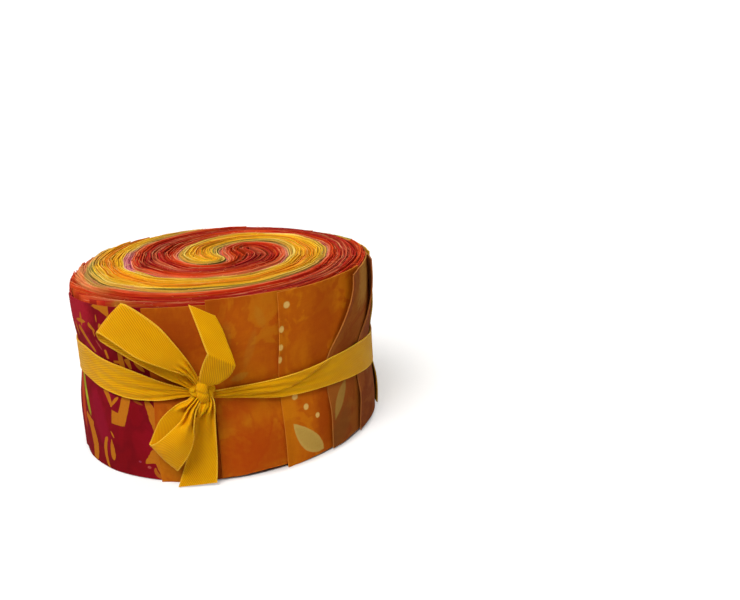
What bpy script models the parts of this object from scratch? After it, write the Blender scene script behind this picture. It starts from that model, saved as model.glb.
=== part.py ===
"""A roll of batik cotton strips, wound together from the middle and tied with a twill ribbon.

The roll stands on its flat underside, whose centre is the origin. +Z is up and the bow faces -Y.
Sizes are in millimetres until a mesh is made.
"""

import math

import bpy
from mathutils import Vector

for leftover in list(bpy.data.objects):
    bpy.data.objects.remove(leftover, do_unlink=True)

MM = 0.001

# The strips: 2.5 inch wide cotton, so the roll is 63.5 mm tall
STRIP_HEIGHT = 63.5
ROLL_RADIUS = 56.0  # over the outermost strip ends, on average
LOBE_SHARE = 0.032  # the wound roll is a little three-sided
SHEET = 1.0  # thickness that cloth and ribbon get here
GAP = 0.3  # between touching pieces

# The winding: one thick stack of strips, turned about its middle into a double spiral
STACK = 16.5
WIND_MIDDLE = (2.5, 4.0)
EYE_AZIMUTH = 24.0
HALF_TURNS = 3
GROOVE_WIDTH = 1.4
GROOVE_DEPTH = 1.2
CORE_HEIGHT = 63.9
RIM_STEP = 3.0  # degrees between the points of the rim

# The strip ends that show round the side
OVERLAP = 4.0  # degrees of a free end that lie over the strip before it
TUCK = 3.1  # degrees that a strip runs on under the next one
RAMP_END = 0.8  # degrees before the next free end where a strip has sunk to its lower level
SIDE_STEP = 3.6  # degrees between points along a strip end
PLAIN_ROWS = 5
LEANING_ROWS = 13
LEAN_LIMIT = 3.0  # degrees of lean that need the closer rows
CURL_START = 38.0  # height, just over the band, where a curled corner starts to stand off
CURL_REACH = 9.0  # degrees over which a curled corner comes back to the roll

# The ribbon
RIBBON_WIDTH = 15.5
BAND_HEIGHT = 34.6  # height of the band's middle at the roll's axis
BAND_SLOPE = -0.116  # the band slants down to +X
KNOT_ALONG = -0.7
KNOT_UP = 35.0
KNOT_OFF = 3.6
KNOT_HALF = (3.5, 3.2, 2.9)  # half sizes along the rim, up, and out from the roll
FRONT = -90.0  # azimuth of the knot's side


def radians(degrees):
    return degrees * math.pi / 180.0


def smooth(low, high, value):
    """Rises softly from 0 at low to 1 at high."""
    share = min(1.0, max(0.0, (value - low) / (high - low)))
    return share * share * (3.0 - 2.0 * share)


def rim_radius(azimuth):
    return ROLL_RADIUS * (1.0 + LOBE_SHARE * math.cos(3.0 * radians(azimuth)))


def polar(azimuth, radius, height):
    angle = radians(azimuth)
    return Vector((radius * math.cos(angle), radius * math.sin(angle), height))


def on_roll(along, up, off):
    """A point off mm out from the rim, along mm to the right of the front, at height up."""
    azimuth = FRONT + math.degrees(along / ROLL_RADIUS)
    return polar(azimuth, rim_radius(azimuth) + off, up)


def make_material(name, colour, roughness):
    material = bpy.data.materials.new(name)
    material.use_nodes = True
    shader = material.node_tree.nodes["Principled BSDF"]
    shader.inputs["Base Color"].default_value = (*colour, 1.0)
    shader.inputs["Roughness"].default_value = roughness
    shader.inputs["Metallic"].default_value = 0.0
    return material


def add_object(name, points, faces, colour, roughness=0.85):
    mesh = bpy.data.meshes.new(name)
    mesh.from_pydata([point * MM for point in points], [], faces)
    mesh.validate()
    mesh.shade_smooth()
    mesh.set_sharp_from_angle(angle=radians(35.0))
    mesh.materials.append(make_material(name + "_material", colour, roughness))
    item = bpy.data.objects.new(name, mesh)
    bpy.context.collection.objects.link(item)
    return item


def grid_faces(rows, columns):
    return [
        (r * columns + c, r * columns + c + 1, (r + 1) * columns + c + 1, (r + 1) * columns + c)
        for r in range(rows - 1)
        for c in range(columns - 1)
    ]


def add_sheet(name, grid, side, colour, roughness=0.85):
    """A sheet of cloth: grid is its rows of points, thickened by Solidify to one side or both."""
    columns = len(grid[0])
    points = [point for row in grid for point in row]
    item = add_object(name, points, grid_faces(len(grid), columns), colour, roughness)
    thicken = item.modifiers.new("thickness", "SOLIDIFY")
    thicken.thickness = SHEET * MM
    thicken.offset = side
    thicken.use_even_offset = True
    return item


# The wound roll

def eye(which):
    """The plan position of one of the two points that the winding turns about."""
    reach = which * STACK / 2.0
    angle = radians(EYE_AZIMUTH)
    return WIND_MIDDLE[0] + reach * math.cos(angle), WIND_MIDDLE[1] + reach * math.sin(angle)


def spiral_route(first):
    """Half circles, each one stack wider than the last, about the far eye and the near eye in turn."""
    far, near = eye(1), eye(-1)
    centres = (far, near) if first == "far" else (near, far)
    start = EYE_AZIMUTH + (180.0 if first == "far" else 0.0)
    route = []
    for turn in range(HALF_TURNS):
        centre = centres[turn % 2]
        radius = (turn + 1) * STACK
        steps = 12 + 4 * turn
        for step in range(steps):
            azimuth = start - 180.0 * (turn + step / steps)
            angle = radians(azimuth)
            route.append((centre[0] + radius * math.cos(angle), centre[1] + radius * math.sin(angle)))
    return route


def groove_cutter(route, face_height, inward):
    """A closed wedge along the route, whose edge reaches GROOVE_DEPTH into the face."""
    points = []
    for i, (x, y) in enumerate(route):
        before = Vector(route[max(0, i - 1)])
        after = Vector(route[min(len(route) - 1, i + 1)])
        across = (after - before).orthogonal().normalized()
        half = across * GROOVE_WIDTH
        points.append(Vector((x + half.x, y + half.y, face_height + inward * -GROOVE_DEPTH)))
        points.append(Vector((x, y, face_height + inward * GROOVE_DEPTH)))
        points.append(Vector((x - half.x, y - half.y, face_height + inward * -GROOVE_DEPTH)))
    faces = [(2, 1, 0)]
    for i in range(len(route) - 1):
        for k in range(3):
            a, b = 3 * i + k, 3 * i + (k + 1) % 3
            faces.append((a, b, b + 3, a + 3))
    last = 3 * (len(route) - 1)
    faces.append((last, last + 1, last + 2))
    if inward < 0:
        faces = [tuple(reversed(face)) for face in faces]
    return points, faces


def build_wound_roll():
    drop = 2.0 * (SHEET + GAP)
    count = round(360.0 / RIM_STEP)
    rim = [i * 360.0 / count for i in range(count)]
    points = [polar(a, rim_radius(a) - drop, 0.0) for a in rim]
    points += [polar(a, rim_radius(a) - drop, CORE_HEIGHT) for a in rim]
    faces = [tuple(reversed(range(count))), tuple(range(count, 2 * count))]
    faces += [(i, (i + 1) % count, count + (i + 1) % count, count + i) for i in range(count)]
    roll = add_object("wound_roll", points, faces, (0.62, 0.16, 0.06))

    cut_points, cut_faces = [], []
    for first in ("far", "near"):
        for face_height, inward in ((CORE_HEIGHT, -1), (0.0, 1)):
            points, faces = groove_cutter(spiral_route(first), face_height, inward)
            base = len(cut_points)
            cut_points += points
            cut_faces += [tuple(base + k for k in face) for face in faces]
    cutter = add_object("groove_guide", cut_points, cut_faces, (0.5, 0.5, 0.5))
    cutter.hide_render = True
    cutter.display_type = "WIRE"
    grooves = roll.modifiers.new("grooves", "BOOLEAN")
    grooves.operation = "DIFFERENCE"
    grooves.solver = "EXACT"
    grooves.object = cutter


# The strip ends round the side, counter-clockwise from above. Each free end is its left edge.
# azimuth: of the free edge; top_free and top_far: heights of the upper edge at its two ends;
# lean: degrees that the free edge's upper part is pulled to the right between lean_low and
# lean_high; curl: how far, in mm, the upper corner of the free end stands off.
STRIP_END_COLUMNS = ("azimuth", "top_free", "top_far", "lean", "lean_low", "lean_high", "curl", "colour")
STRIP_ENDS = (
    (-159.0, 62.6, 63.9, 0.0, 30.0, 60.0, 0.0, (0.42, 0.02, 0.05)),
    (-108.0, 63.2, 63.2, 0.0, 30.0, 60.0, 0.0, (0.50, 0.15, 0.02)),
    (-86.4, 65.0, 63.8, 0.0, 30.0, 60.0, 0.0, (0.58, 0.22, 0.02)),
    (-62.3, 63.9, 63.6, 1.3, 34.0, 62.0, 0.0, (0.65, 0.26, 0.03)),
    (-41.5, 62.6, 63.4, 14.5, 30.0, 60.0, 1.6, (0.45, 0.20, 0.06)),
    (-23.2, 62.9, 63.6, 16.0, 28.0, 58.0, 1.2, (0.45, 0.18, 0.06)),
    (3.0, 63.4, 63.1, 0.0, 30.0, 60.0, 0.0, (0.75, 0.48, 0.04)),
    (26.5, 64.2, 63.5, -1.5, 5.0, 60.0, 0.0, (0.42, 0.34, 0.14)),
    (50.5, 63.0, 63.6, 0.0, 30.0, 60.0, 0.0, (0.60, 0.28, 0.10)),
    (71.0, 63.9, 63.2, 2.0, 5.0, 60.0, 0.0, (0.66, 0.36, 0.08)),
    (92.5, 62.8, 63.5, 0.0, 30.0, 60.0, 0.0, (0.66, 0.36, 0.05)),
    (114.0, 64.4, 63.9, -1.0, 5.0, 60.0, 0.0, (0.44, 0.06, 0.09)),
    (135.5, 63.3, 63.0, 0.0, 30.0, 60.0, 0.0, (0.48, 0.08, 0.16)),
    (157.5, 63.7, 63.6, 1.5, 5.0, 60.0, 0.0, (0.58, 0.18, 0.04)),
    (179.5, 63.1, 63.4, 0.0, 30.0, 60.0, 0.0, (0.52, 0.10, 0.06)),
)
TURN = 360.0


def free_edge(strip, height):
    """The azimuth of a strip's free edge at a height."""
    return strip["azimuth"] + strip["lean"] * smooth(strip["lean_low"], strip["lean_high"], height)


def strip_end_row(strip, following, height_share):
    """One row of points, from the free edge to the tucked end, on the strip's inner face."""
    width = following["azimuth"] - strip["azimuth"] + max(0.0, following["lean"] - strip["lean"])
    top_level = STRIP_HEIGHT
    left = free_edge(strip, height_share * top_level)
    right = free_edge(following, height_share * top_level)
    steps = math.ceil(width / SIDE_STEP)
    ramp_left, ramp_right = left + OVERLAP, right - RAMP_END
    stations = [(left, 0.0), (left + OVERLAP / 2.0, 0.0)]
    stations += [(ramp_left + (ramp_right - ramp_left) * k / steps, k / steps) for k in range(steps + 1)]
    stations += [(right + TUCK, 1.0)]
    row = []
    for azimuth, sink in stations:
        across = (azimuth - left) / (right + TUCK - left)
        top = strip["top_free"] + (strip["top_far"] - strip["top_free"]) * across
        lift = strip["curl"] * smooth(CURL_START, top_level, height_share * top_level)
        lift *= 1.0 - smooth(0.0, CURL_REACH, azimuth - left)
        radius = rim_radius(azimuth) - SHEET - (SHEET + GAP) * sink + lift
        row.append(polar(azimuth, radius, top * height_share))
    return row


def build_strip_ends():
    strips = [dict(zip(STRIP_END_COLUMNS, row)) for row in STRIP_ENDS]
    for i, strip in enumerate(strips):
        following = dict(strips[(i + 1) % len(strips)])
        if i + 1 == len(strips):
            following["azimuth"] += TURN
        leaning = max(abs(strip["lean"]), abs(following["lean"])) > LEAN_LIMIT
        count = LEANING_ROWS if leaning else PLAIN_ROWS
        rows = [strip_end_row(strip, following, k / (count - 1)) for k in range(count)]
        add_sheet(f"strip_end_{i + 1:02d}", rows, 1.0, strip["colour"])


# The ribbon round the roll, from the knot's right side round the back to its left side.
# turn: degrees round from the front; width: of the band there; fold: depth of its gathers.
BAND_COLUMNS = ("turn", "width", "fold")
BAND = (
    (3.3, 3.0, 0.35),
    (8.0, 3.9, 0.40),
    (16.0, 6.4, 0.45),
    (28.0, 8.6, 0.35),
    (47.0, 10.4, 0.2),
    (67.0, 12.4, 0.1),
    (90.0, 13.6, 0.0),
    (130.0, 15.0, 0.0),
    (180.0, RIBBON_WIDTH, 0.0),
    (250.0, 14.2, 0.0),
    (290.0, 12.6, 0.1),
    (310.0, 12.0, 0.2),
    (330.0, 11.6, 0.35),
    (343.0, 8.4, 0.45),
    (351.0, 4.4, 0.4),
    (355.2, 3.0, 0.35),
)
BAND_ACROSS = 7
BAND_STEP = 6.0  # degrees, at most, between cross-sections
BAND_LEAST_STEPS = 3  # between two rows of the table


def band_middle(azimuth):
    return BAND_HEIGHT + BAND_SLOPE * rim_radius(azimuth) * math.cos(radians(azimuth))


def build_band():
    stations = [dict(zip(BAND_COLUMNS, row)) for row in BAND]
    grid = []
    for here, there in zip(stations, stations[1:]):
        steps = max(BAND_LEAST_STEPS, math.ceil((there["turn"] - here["turn"]) / BAND_STEP))
        for step in range(steps):
            grid.append({key: here[key] + (there[key] - here[key]) * step / steps for key in BAND_COLUMNS})
    grid.append(stations[-1])
    rows = []
    for station in grid:
        azimuth = FRONT + station["turn"]
        row = []
        for k in range(BAND_ACROSS):
            share = 1.0 - 2.0 * k / (BAND_ACROSS - 1)
            ripple = station["fold"] * (1.0 - math.cos(2.0 * math.pi * share)) / 2.0
            height = band_middle(azimuth) + share * station["width"] / 2.0
            row.append(polar(azimuth, rim_radius(azimuth) + GAP + ripple, height))
        rows.append(row)
    add_sheet("ribbon_band", rows, 1.0, (0.60, 0.32, 0.02), 0.6)


# The free parts of the ribbon. Each row is one cross-section, out from the knot: the two edges of
# the ribbon as along, up and off, in mm, and cup, how far the middle bulges between them.
RIBBON_COLUMNS = ("edge_a", "edge_b", "cup")
RIBBON_ROWS = {
    "bow_loop_upper": (
        ((-1.5, 39.9, 5.0), (-3.3, 38.7, 5.0), 0.2),
        ((-0.8, 43.4, 5.6), (-3.6, 41.3, 5.6), 0.4),
        ((-3.0, 49.0, 7.2), (-6.6, 44.6, 7.2), 0.6),
        ((-5.4, 54.2, 8.2), (-11.7, 47.6, 8.0), 0.5),
        ((-8.9, 60.0, 8.4), (-18.8, 52.4, 8.4), 0.3),
        ((-13.9, 64.2, 8.0), (-23.8, 53.7, 8.0), 0.2),
        ((-19.0, 66.8, 7.0), (-29.2, 54.6, 7.0), 0.1),
        ((-21.4, 66.4, 5.0), (-32.2, 53.2, 5.0), 0.0),
        ((-21.0, 64.8, 3.0), (-32.4, 51.6, 3.0), 0.0),
        ((-16.4, 60.4, 2.3), (-27.4, 48.6, 2.3), 0.0),
        ((-11.1, 53.9, 2.4), (-18.7, 44.0, 2.4), 0.0),
        ((-6.2, 46.3, 2.8), (-10.6, 40.0, 2.8), 0.0),
        ((-3.4, 41.2, 3.2), (-5.6, 37.9, 3.2), 0.0),
    ),
    "bow_loop_lower": (
        ((-3.6, 31.2, 5.5), (-1.6, 30.2, 5.5), 0.2),
        ((-4.4, 29.6, 6.4), (-2.4, 28.6, 6.4), 0.4),
        ((-5.9, 26.6, 8.0), (-2.6, 24.4, 8.0), 0.6),
        ((-8.7, 23.8, 8.5), (-3.0, 20.0, 8.5), 0.6),
        ((-12.4, 20.1, 8.0), (-4.7, 14.6, 8.0), 0.5),
        ((-15.8, 17.4, 6.5), (-8.2, 8.9, 6.5), 0.3),
        ((-17.8, 16.6, 4.6), (-9.9, 7.0, 4.6), 0.0),
        ((-17.6, 17.4, 3.0), (-10.3, 8.2, 3.0), 0.0),
        ((-15.4, 21.0, 2.3), (-8.6, 13.4, 2.3), 0.0),
        ((-13.0, 24.0, 2.3), (-7.0, 18.2, 2.3), 0.0),
        ((-10.1, 27.0, 2.6), (-5.6, 22.8, 2.6), 0.0),
        ((-6.8, 29.6, 3.2), (-4.5, 27.0, 3.2), 0.0),
        ((-5.0, 30.5, 3.5), (-3.5, 29.1, 3.5), 0.0),
    ),
    "ribbon_tail_upper": (
        ((0.4, 40.1, 6.6), (3.1, 37.9, 5.6), 0.0),
        ((1.1, 42.0, 7.4), (4.8, 37.9, 6.2), 0.0),
        ((2.2, 45.9, 8.6), (8.0, 40.2, 7.2), 0.0),
        ((3.6, 50.4, 9.8), (10.4, 44.2, 8.6), 0.0),
        ((2.9, 53.6, 9.0), (10.3, 47.8, 7.8), 0.0),
        ((1.8, 57.0, 7.6), (9.2, 52.5, 6.6), 0.2),
        ((0.5, 60.8, 6.0), (8.0, 56.8, 5.4), 0.2),
        ((-1.0, 65.4, 4.4), (6.6, 60.6, 4.2), 0.0),
    ),
    "ribbon_tail_lower": (
        ((0.6, 29.6, 4.0), (2.8, 31.2, 4.0), 0.0),
        ((-0.5, 27.4, 4.0), (3.0, 28.4, 4.0), 0.2),
        ((-2.2, 24.0, 3.6), (2.9, 24.2, 3.6), 0.4),
        ((-3.9, 18.8, 2.9), (2.7, 17.6, 2.9), 0.4),
        ((-6.0, 12.6, 2.3), (2.6, 11.4, 2.3), 0.3),
        ((-7.8, 7.6, 2.0), (2.5, 6.8, 2.0), 0.2),
        ((-9.9, 0.8, 1.8), (1.9, 1.8, 1.8), 0.0),
    ),
}
RIBBON_ACROSS = 5


def curve_between(values, index, share):
    """A point on the smooth curve through the listed values, share of the way past values[index]."""
    last = len(values) - 1
    a, b = values[max(0, index - 1)], values[index]
    c, d = values[min(last, index + 1)], values[min(last, index + 2)]
    square, cube = share * share, share * share * share
    return 0.5 * (2.0 * b + (c - a) * share + (2.0 * a - 5.0 * b + 4.0 * c - d) * square
                  + (3.0 * b - a - 3.0 * c + d) * cube)


def build_ribbon_part(name):
    rows = [dict(zip(RIBBON_COLUMNS, row)) for row in RIBBON_ROWS[name]]
    edge_a = [on_roll(*row["edge_a"]) for row in rows]
    edge_b = [on_roll(*row["edge_b"]) for row in rows]
    cups = [row["cup"] for row in rows]
    grid = []
    for i in range(2 * (len(rows) - 1) + 1):
        index, share = divmod(i / 2.0, 1.0)
        index = int(index)
        a = curve_between(edge_a, index, share)
        b = curve_between(edge_b, index, share)
        cup = curve_between(cups, index, share)
        out = Vector((a.x + b.x, a.y + b.y, 0.0)).normalized()
        row = []
        for k in range(RIBBON_ACROSS):
            across = k / (RIBBON_ACROSS - 1)
            row.append(a.lerp(b, across) + out * cup * math.sin(math.pi * across))
        grid.append(row)
    add_sheet(name, grid, 0.0, (0.68, 0.38, 0.02), 0.6)


KNOT_RINGS = 10
KNOT_SPOKES = 20
WRAP_RISE = 0.16  # the turn of ribbon over the knot stands out by this share
CREASE_DEPTH = 0.12  # the creases beside that turn sink in by this share


def build_knot():
    """A small lump with the ribbon's one upright turn standing out over it between two creases."""
    middle = on_roll(KNOT_ALONG, KNOT_UP, KNOT_OFF)
    out = Vector((middle.x, middle.y, 0.0)).normalized()
    up = Vector((0.0, 0.0, 1.0))
    along = up.cross(out)
    half_along, half_up, half_out = KNOT_HALF

    def surface(tilt, spin):
        share = math.cos(tilt)
        ripple = WRAP_RISE * math.exp(-((share / 0.35) ** 2))
        ripple -= CREASE_DEPTH * math.exp(-(((abs(share) - 0.62) / 0.16) ** 2))
        scale = (1.0 + ripple) / (1.0 + WRAP_RISE)
        return (
            middle
            + along * half_along * share
            + up * half_up * math.sin(tilt) * math.sin(spin) * scale
            + out * half_out * math.sin(tilt) * math.cos(spin) * scale
        )

    points = [surface(0.0, 0.0)]
    for ring in range(1, KNOT_RINGS):
        for spoke in range(KNOT_SPOKES):
            points.append(surface(math.pi * ring / KNOT_RINGS, 2.0 * math.pi * spoke / KNOT_SPOKES))
    points.append(surface(math.pi, 0.0))
    faces = []
    for spoke in range(KNOT_SPOKES):
        beside = (spoke + 1) % KNOT_SPOKES
        faces.append((0, 1 + beside, 1 + spoke))
        for ring in range(KNOT_RINGS - 2):
            low, high = 1 + ring * KNOT_SPOKES, 1 + (ring + 1) * KNOT_SPOKES
            faces.append((low + spoke, low + beside, high + beside, high + spoke))
        low = 1 + (KNOT_RINGS - 2) * KNOT_SPOKES
        faces.append((low + spoke, low + beside, len(points) - 1))
    add_object("ribbon_knot", points, faces, (0.66, 0.36, 0.02), 0.6)


build_wound_roll()
build_strip_ends()
build_band()
for part_name in RIBBON_ROWS:
    build_ribbon_part(part_name)
build_knot()
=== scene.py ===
import math

import bpy
import numpy as np
from mathutils import Matrix, Vector


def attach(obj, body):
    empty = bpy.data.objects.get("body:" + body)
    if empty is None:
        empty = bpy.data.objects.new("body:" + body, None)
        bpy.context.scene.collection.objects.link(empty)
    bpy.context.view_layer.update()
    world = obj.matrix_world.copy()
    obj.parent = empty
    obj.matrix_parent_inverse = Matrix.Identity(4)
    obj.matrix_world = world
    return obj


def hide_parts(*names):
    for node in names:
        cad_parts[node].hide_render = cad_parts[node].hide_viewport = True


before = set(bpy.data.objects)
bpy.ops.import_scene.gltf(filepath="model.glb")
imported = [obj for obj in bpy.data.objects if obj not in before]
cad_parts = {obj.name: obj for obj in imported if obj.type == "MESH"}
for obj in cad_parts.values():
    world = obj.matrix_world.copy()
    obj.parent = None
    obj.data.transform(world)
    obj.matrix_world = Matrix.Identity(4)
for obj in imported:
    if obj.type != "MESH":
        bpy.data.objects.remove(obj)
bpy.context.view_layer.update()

mm = 0.001
uvScale = 0.01  # a UV unit is 100 mm of cloth
scene = bpy.context.scene
scene.view_settings.view_transform = "Standard"

# Sizes below are millimetres on the roll: azimuth in degrees, -90 faces the bow's side
roll = {"radius": 56.0, "lobe": 0.032, "height": 63.5, "front": -90.0}


def smooth(low, high, value):
    share = np.clip((np.asarray(value, dtype=float) - low) / (high - low), 0.0, 1.0)
    return share * share * (3.0 - 2.0 * share)


def rimRadius(azimuth):
    return roll["radius"] * (1.0 + roll["lobe"] * np.cos(3.0 * np.radians(azimuth)))


def polar(azimuth, radius, height):
    angle = np.radians(azimuth)
    return np.stack(np.broadcast_arrays(radius * np.cos(angle), radius * np.sin(angle), height), axis=-1)


def onRoll(along, up, off):
    azimuth = roll["front"] + np.degrees(np.asarray(along) / roll["radius"])
    return polar(azimuth, rimRadius(azimuth) + off, up)


# How far the tied ribbon draws the side in, and how far the foot stands out, each by azimuth
tied = {
    "waist": 1.25, "frontWaist": 0.4, "frontReach": 22.0, "reach": 9.5, "swell": 0.35,
    "footFrom": 2.0, "footReach": 26.0, "core": 30.0,
    "foot": ((-180.0, 0.2), (-160.0, 0.9), (-147.0, 0.9), (-136.0, 0.1), (-100.0, 0.0), (-80.0, 0.5),
             (-62.0, 0.5), (-46.0, -0.1), (-30.0, -1.0), (-15.0, -1.2), (-4.0, -0.5), (8.0, 0.2), (20.0, 0.3),
             (50.0, 0.0), (110.0, 0.3), (150.0, -0.3)),
    "bandLevel": ((-180.0, 36.8), (-160.0, 36.6), (-150.0, 38.2), (-140.0, 39.0), (-128.0, 37.0),
                  (-110.0, 34.8), (-90.0, 33.4), (-64.0, 30.1), (-40.0, 29.8), (-20.0, 29.0), (0.0, 27.2),
                  (20.0, 27.6), (45.0, 30.0), (90.0, 34.6), (135.0, 37.6)),
}


def byAzimuth(rows, azimuth):
    return np.interp(np.asarray(azimuth, dtype=float), *zip(*rows), period=360.0)


def drawnIn(azimuth, level):
    # Radial shift of the roll's side: in at the ribbon, a little out above and below it
    turn = (np.asarray(azimuth, dtype=float) - roll["front"] + 180.0) % 360.0 - 180.0
    front = np.exp(-(turn / tied["frontReach"]) ** 2)
    depth = tied["waist"] + (tied["frontWaist"] - tied["waist"]) * front
    away = (level - byAzimuth(tied["bandLevel"], azimuth)) / tied["reach"]
    waist = -depth * np.exp(-away ** 2) + tied["swell"] * np.exp(-(np.abs(away) - 2.0) ** 2)
    low = 1.0 - smooth(tied["footFrom"], tied["footReach"], level)
    return waist + byAzimuth(tied["foot"], azimuth) * low


def inwardShare(reach):
    return smooth(tied["core"], roll["radius"], reach)


def ripple(x, y, wave, seed, count=7):
    # A soft uneven field from -1 to 1: a few sine waves that cross at their own angles
    dice = np.random.default_rng(seed)
    total = np.zeros(np.broadcast(x, y).shape)
    for _ in range(count):
        turn, shift, stretch = dice.uniform(0, 2 * np.pi), dice.uniform(0, 2 * np.pi), dice.uniform(0.7, 1.6)
        total += np.sin((x * np.cos(turn) + y * np.sin(turn)) * 2 * np.pi / (wave * stretch) + shift)
    return total / math.sqrt(count) / 1.4


def curveThrough(rows, parts):
    # Points on the smooth curve through the rows, parts steps from each row to the next
    rows = np.asarray(rows, dtype=float)
    last = len(rows) - 1
    out = []
    for step in range(parts * last + 1):
        i, t = min(step // parts, last - 1), step / parts - min(step // parts, last - 1)
        a, b, c, d = rows[max(0, i - 1)], rows[i], rows[i + 1], rows[min(last, i + 2)]
        out.append(0.5 * (2 * b + (c - a) * t + (2 * a - 5 * b + 4 * c - d) * t * t
                          + (3 * b - a - 3 * c + d) * t ** 3))
    return np.array(out)


# Meshes: each part is a thin closed sheet on a grid of points, and a piece joins its parts

def gridPart(points, thickness, uv, cut, colour=(1.0, 1.0, 1.0)):
    rows, columns = points.shape[:2]
    count = rows * columns
    across, along = np.gradient(points, axis=1), np.gradient(points, axis=0)
    normal = np.cross(across, along)
    normal /= np.maximum(np.linalg.norm(normal, axis=2, keepdims=True), 1e-9)
    half = (np.broadcast_to(thickness, (rows, columns)) / 2.0)[..., None]
    corners = np.concatenate([points + normal * half, points - normal * half]).reshape(-1, 3)
    index = np.arange(count).reshape(rows, columns)
    front = np.stack([index[:-1, :-1], index[:-1, 1:], index[1:, 1:], index[1:, :-1]], axis=-1).reshape(-1, 4)
    edge = np.concatenate([index[0, :-1], index[:-1, -1], index[-1, :0:-1], index[:0:-1, 0]])
    beside = np.roll(edge, -1)
    sides = np.stack([beside, edge, edge + count, beside + count], axis=-1)
    return {
        "points": corners,
        "faces": np.concatenate([front, front[:, ::-1] + count, sides]),
        "uv": np.tile(uv.reshape(-1, 2), (2, 1)),
        "cut": np.tile(np.broadcast_to(cut, (rows, columns)).reshape(-1), 2),
        "colour": np.tile(np.broadcast_to(colour, (rows, columns, 3)).reshape(-1, 3), (2, 1)),
    }


def threadPart(path, radius, colour):
    # A loose fibre: a thin round thread through the points of its path
    ahead = np.gradient(path, axis=0)
    ahead /= np.linalg.norm(ahead, axis=1, keepdims=True)
    side = np.cross(ahead, np.array([0.31, 0.17, 0.93]))
    side /= np.linalg.norm(side, axis=1, keepdims=True)
    over = np.cross(side, ahead)
    spins = np.radians([0.0, 120.0, 240.0])[None, :, None]
    rings = path[:, None, :] + radius * (np.cos(spins) * side[:, None, :] + np.sin(spins) * over[:, None, :])
    count = len(path)
    index = np.arange(3 * count).reshape(count, 3)
    beside = np.roll(index, -1, axis=1)
    sides = np.stack([index[:-1], beside[:-1], beside[1:], index[1:]], axis=-1).reshape(-1, 4)
    caps = [list(index[0, ::-1]), list(index[-1])]
    return {
        "points": rings.reshape(-1, 3), "faces": sides.tolist() + caps,
        "uv": np.repeat(np.linspace(0.0, 1.0, count), 3)[:, None] * np.ones(2), "cut": np.zeros(3 * count),
        "colour": np.tile(colour, (3 * count, 1)),
    }


def lengthAlong(path):
    return np.concatenate([[0.0], np.cumsum(np.linalg.norm(np.diff(path, axis=0), axis=1))])


def grid(across, along):
    return np.stack(np.broadcast_arrays(across, along), axis=-1)


def pieceFrom(name, parts, material, sharp=40.0):
    starts = np.cumsum([0] + [len(part["points"]) for part in parts[:-1]])
    points = np.concatenate([part["points"] for part in parts]) * mm
    faces = [[int(corner) + int(start) for corner in face]
             for part, start in zip(parts, starts) for face in part["faces"]]
    mesh = bpy.data.meshes.new(name)
    mesh.from_pydata(points.tolist(), [], faces)
    corner = np.empty(len(mesh.loops), dtype=np.int32)
    mesh.loops.foreach_get("vertex_index", corner)
    uv = np.concatenate([part["uv"] for part in parts])
    layer = mesh.uv_layers.new(name="clothSize")
    layer.data.foreach_set("uv", (uv[corner] * uvScale).astype(np.float32).ravel())
    cut = mesh.attributes.new("cutEdge", "FLOAT", "POINT")
    cut.data.foreach_set("value", np.concatenate([part["cut"] for part in parts]).astype(np.float32))
    colour = mesh.attributes.new("dye", "FLOAT_COLOR", "POINT")
    dyes = np.insert(np.concatenate([part["colour"] for part in parts]), 3, 1.0, axis=1)
    colour.data.foreach_set("color", dyes.astype(np.float32).ravel())
    mesh.shade_smooth()
    mesh.set_sharp_from_angle(angle=math.radians(sharp))
    piece = bpy.data.objects.new(name, mesh)
    scene.collection.objects.link(piece)
    piece.data.materials.append(material)
    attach(piece, "root")
    return piece


def hexColour(code):
    parts = [int(code[i:i + 2], 16) / 255.0 for i in (1, 3, 5)]
    return tuple(c / 12.92 if c <= 0.04045 else ((c + 0.055) / 1.055) ** 2.4 for c in parts)


# Shader helpers. A value is a number, a colour or another node's socket

def put(tree, socket, value):
    if isinstance(value, bpy.types.NodeSocket):
        tree.links.new(value, socket)
    else:
        socket.default_value = (*value, 1.0) if socket.type == "RGBA" else value


def add(tree, kind, values=None, **settings):
    made = tree.nodes.new(kind)
    for key, value in settings.items():
        setattr(made, key, value)
    for key, value in (values or {}).items():
        put(tree, made.inputs[key], value)
    return made


def maths(tree, operation, first, second=0.0, third=0.0, clamp=False):
    made = add(tree, "ShaderNodeMath", {0: first, 1: second, 2: third}, operation=operation, use_clamp=clamp)
    return made.outputs[0]


def times(tree, first, second):
    return maths(tree, "MULTIPLY", first, second)


def plus(tree, first, second):
    return maths(tree, "ADD", first, second)


def minus(tree, first, second):
    return maths(tree, "SUBTRACT", first, second)


def ratio(tree, first, second):
    return maths(tree, "DIVIDE", first, second)


def timesPlus(tree, first, second, third):
    return maths(tree, "MULTIPLY_ADD", first, second, third)


def blend(tree, share, low, high, kind="MIX"):
    made = tree.nodes.new("ShaderNodeMix")
    made.data_type = "RGBA"
    made.blend_type = kind
    for index, value in ((0, share), (6, low), (7, high)):
        put(tree, made.inputs[index], value)
    return made.outputs[2]


def dyed(tree, mask, share, colour, code):
    return blend(tree, times(tree, mask, share), colour, hexColour(code))


def spread(tree, value, low, high):
    made = add(tree, "ShaderNodeMapRange", {"Value": value, "From Min": low, "From Max": high},
               interpolation_type="SMOOTHSTEP")
    return made.outputs[0]


def noise(tree, place, scale, detail, values=None, **settings):
    given = {"Vector": place, "Scale": scale, "Detail": detail, **(values or {})}
    return add(tree, "ShaderNodeTexNoise", given, **settings).outputs[0]


def streaks(tree, place, stretch, detail):
    drawn = add(tree, "ShaderNodeMapping", {"Vector": place, "Scale": stretch})
    return noise(tree, drawn.outputs[0], 1.0, detail)


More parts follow.
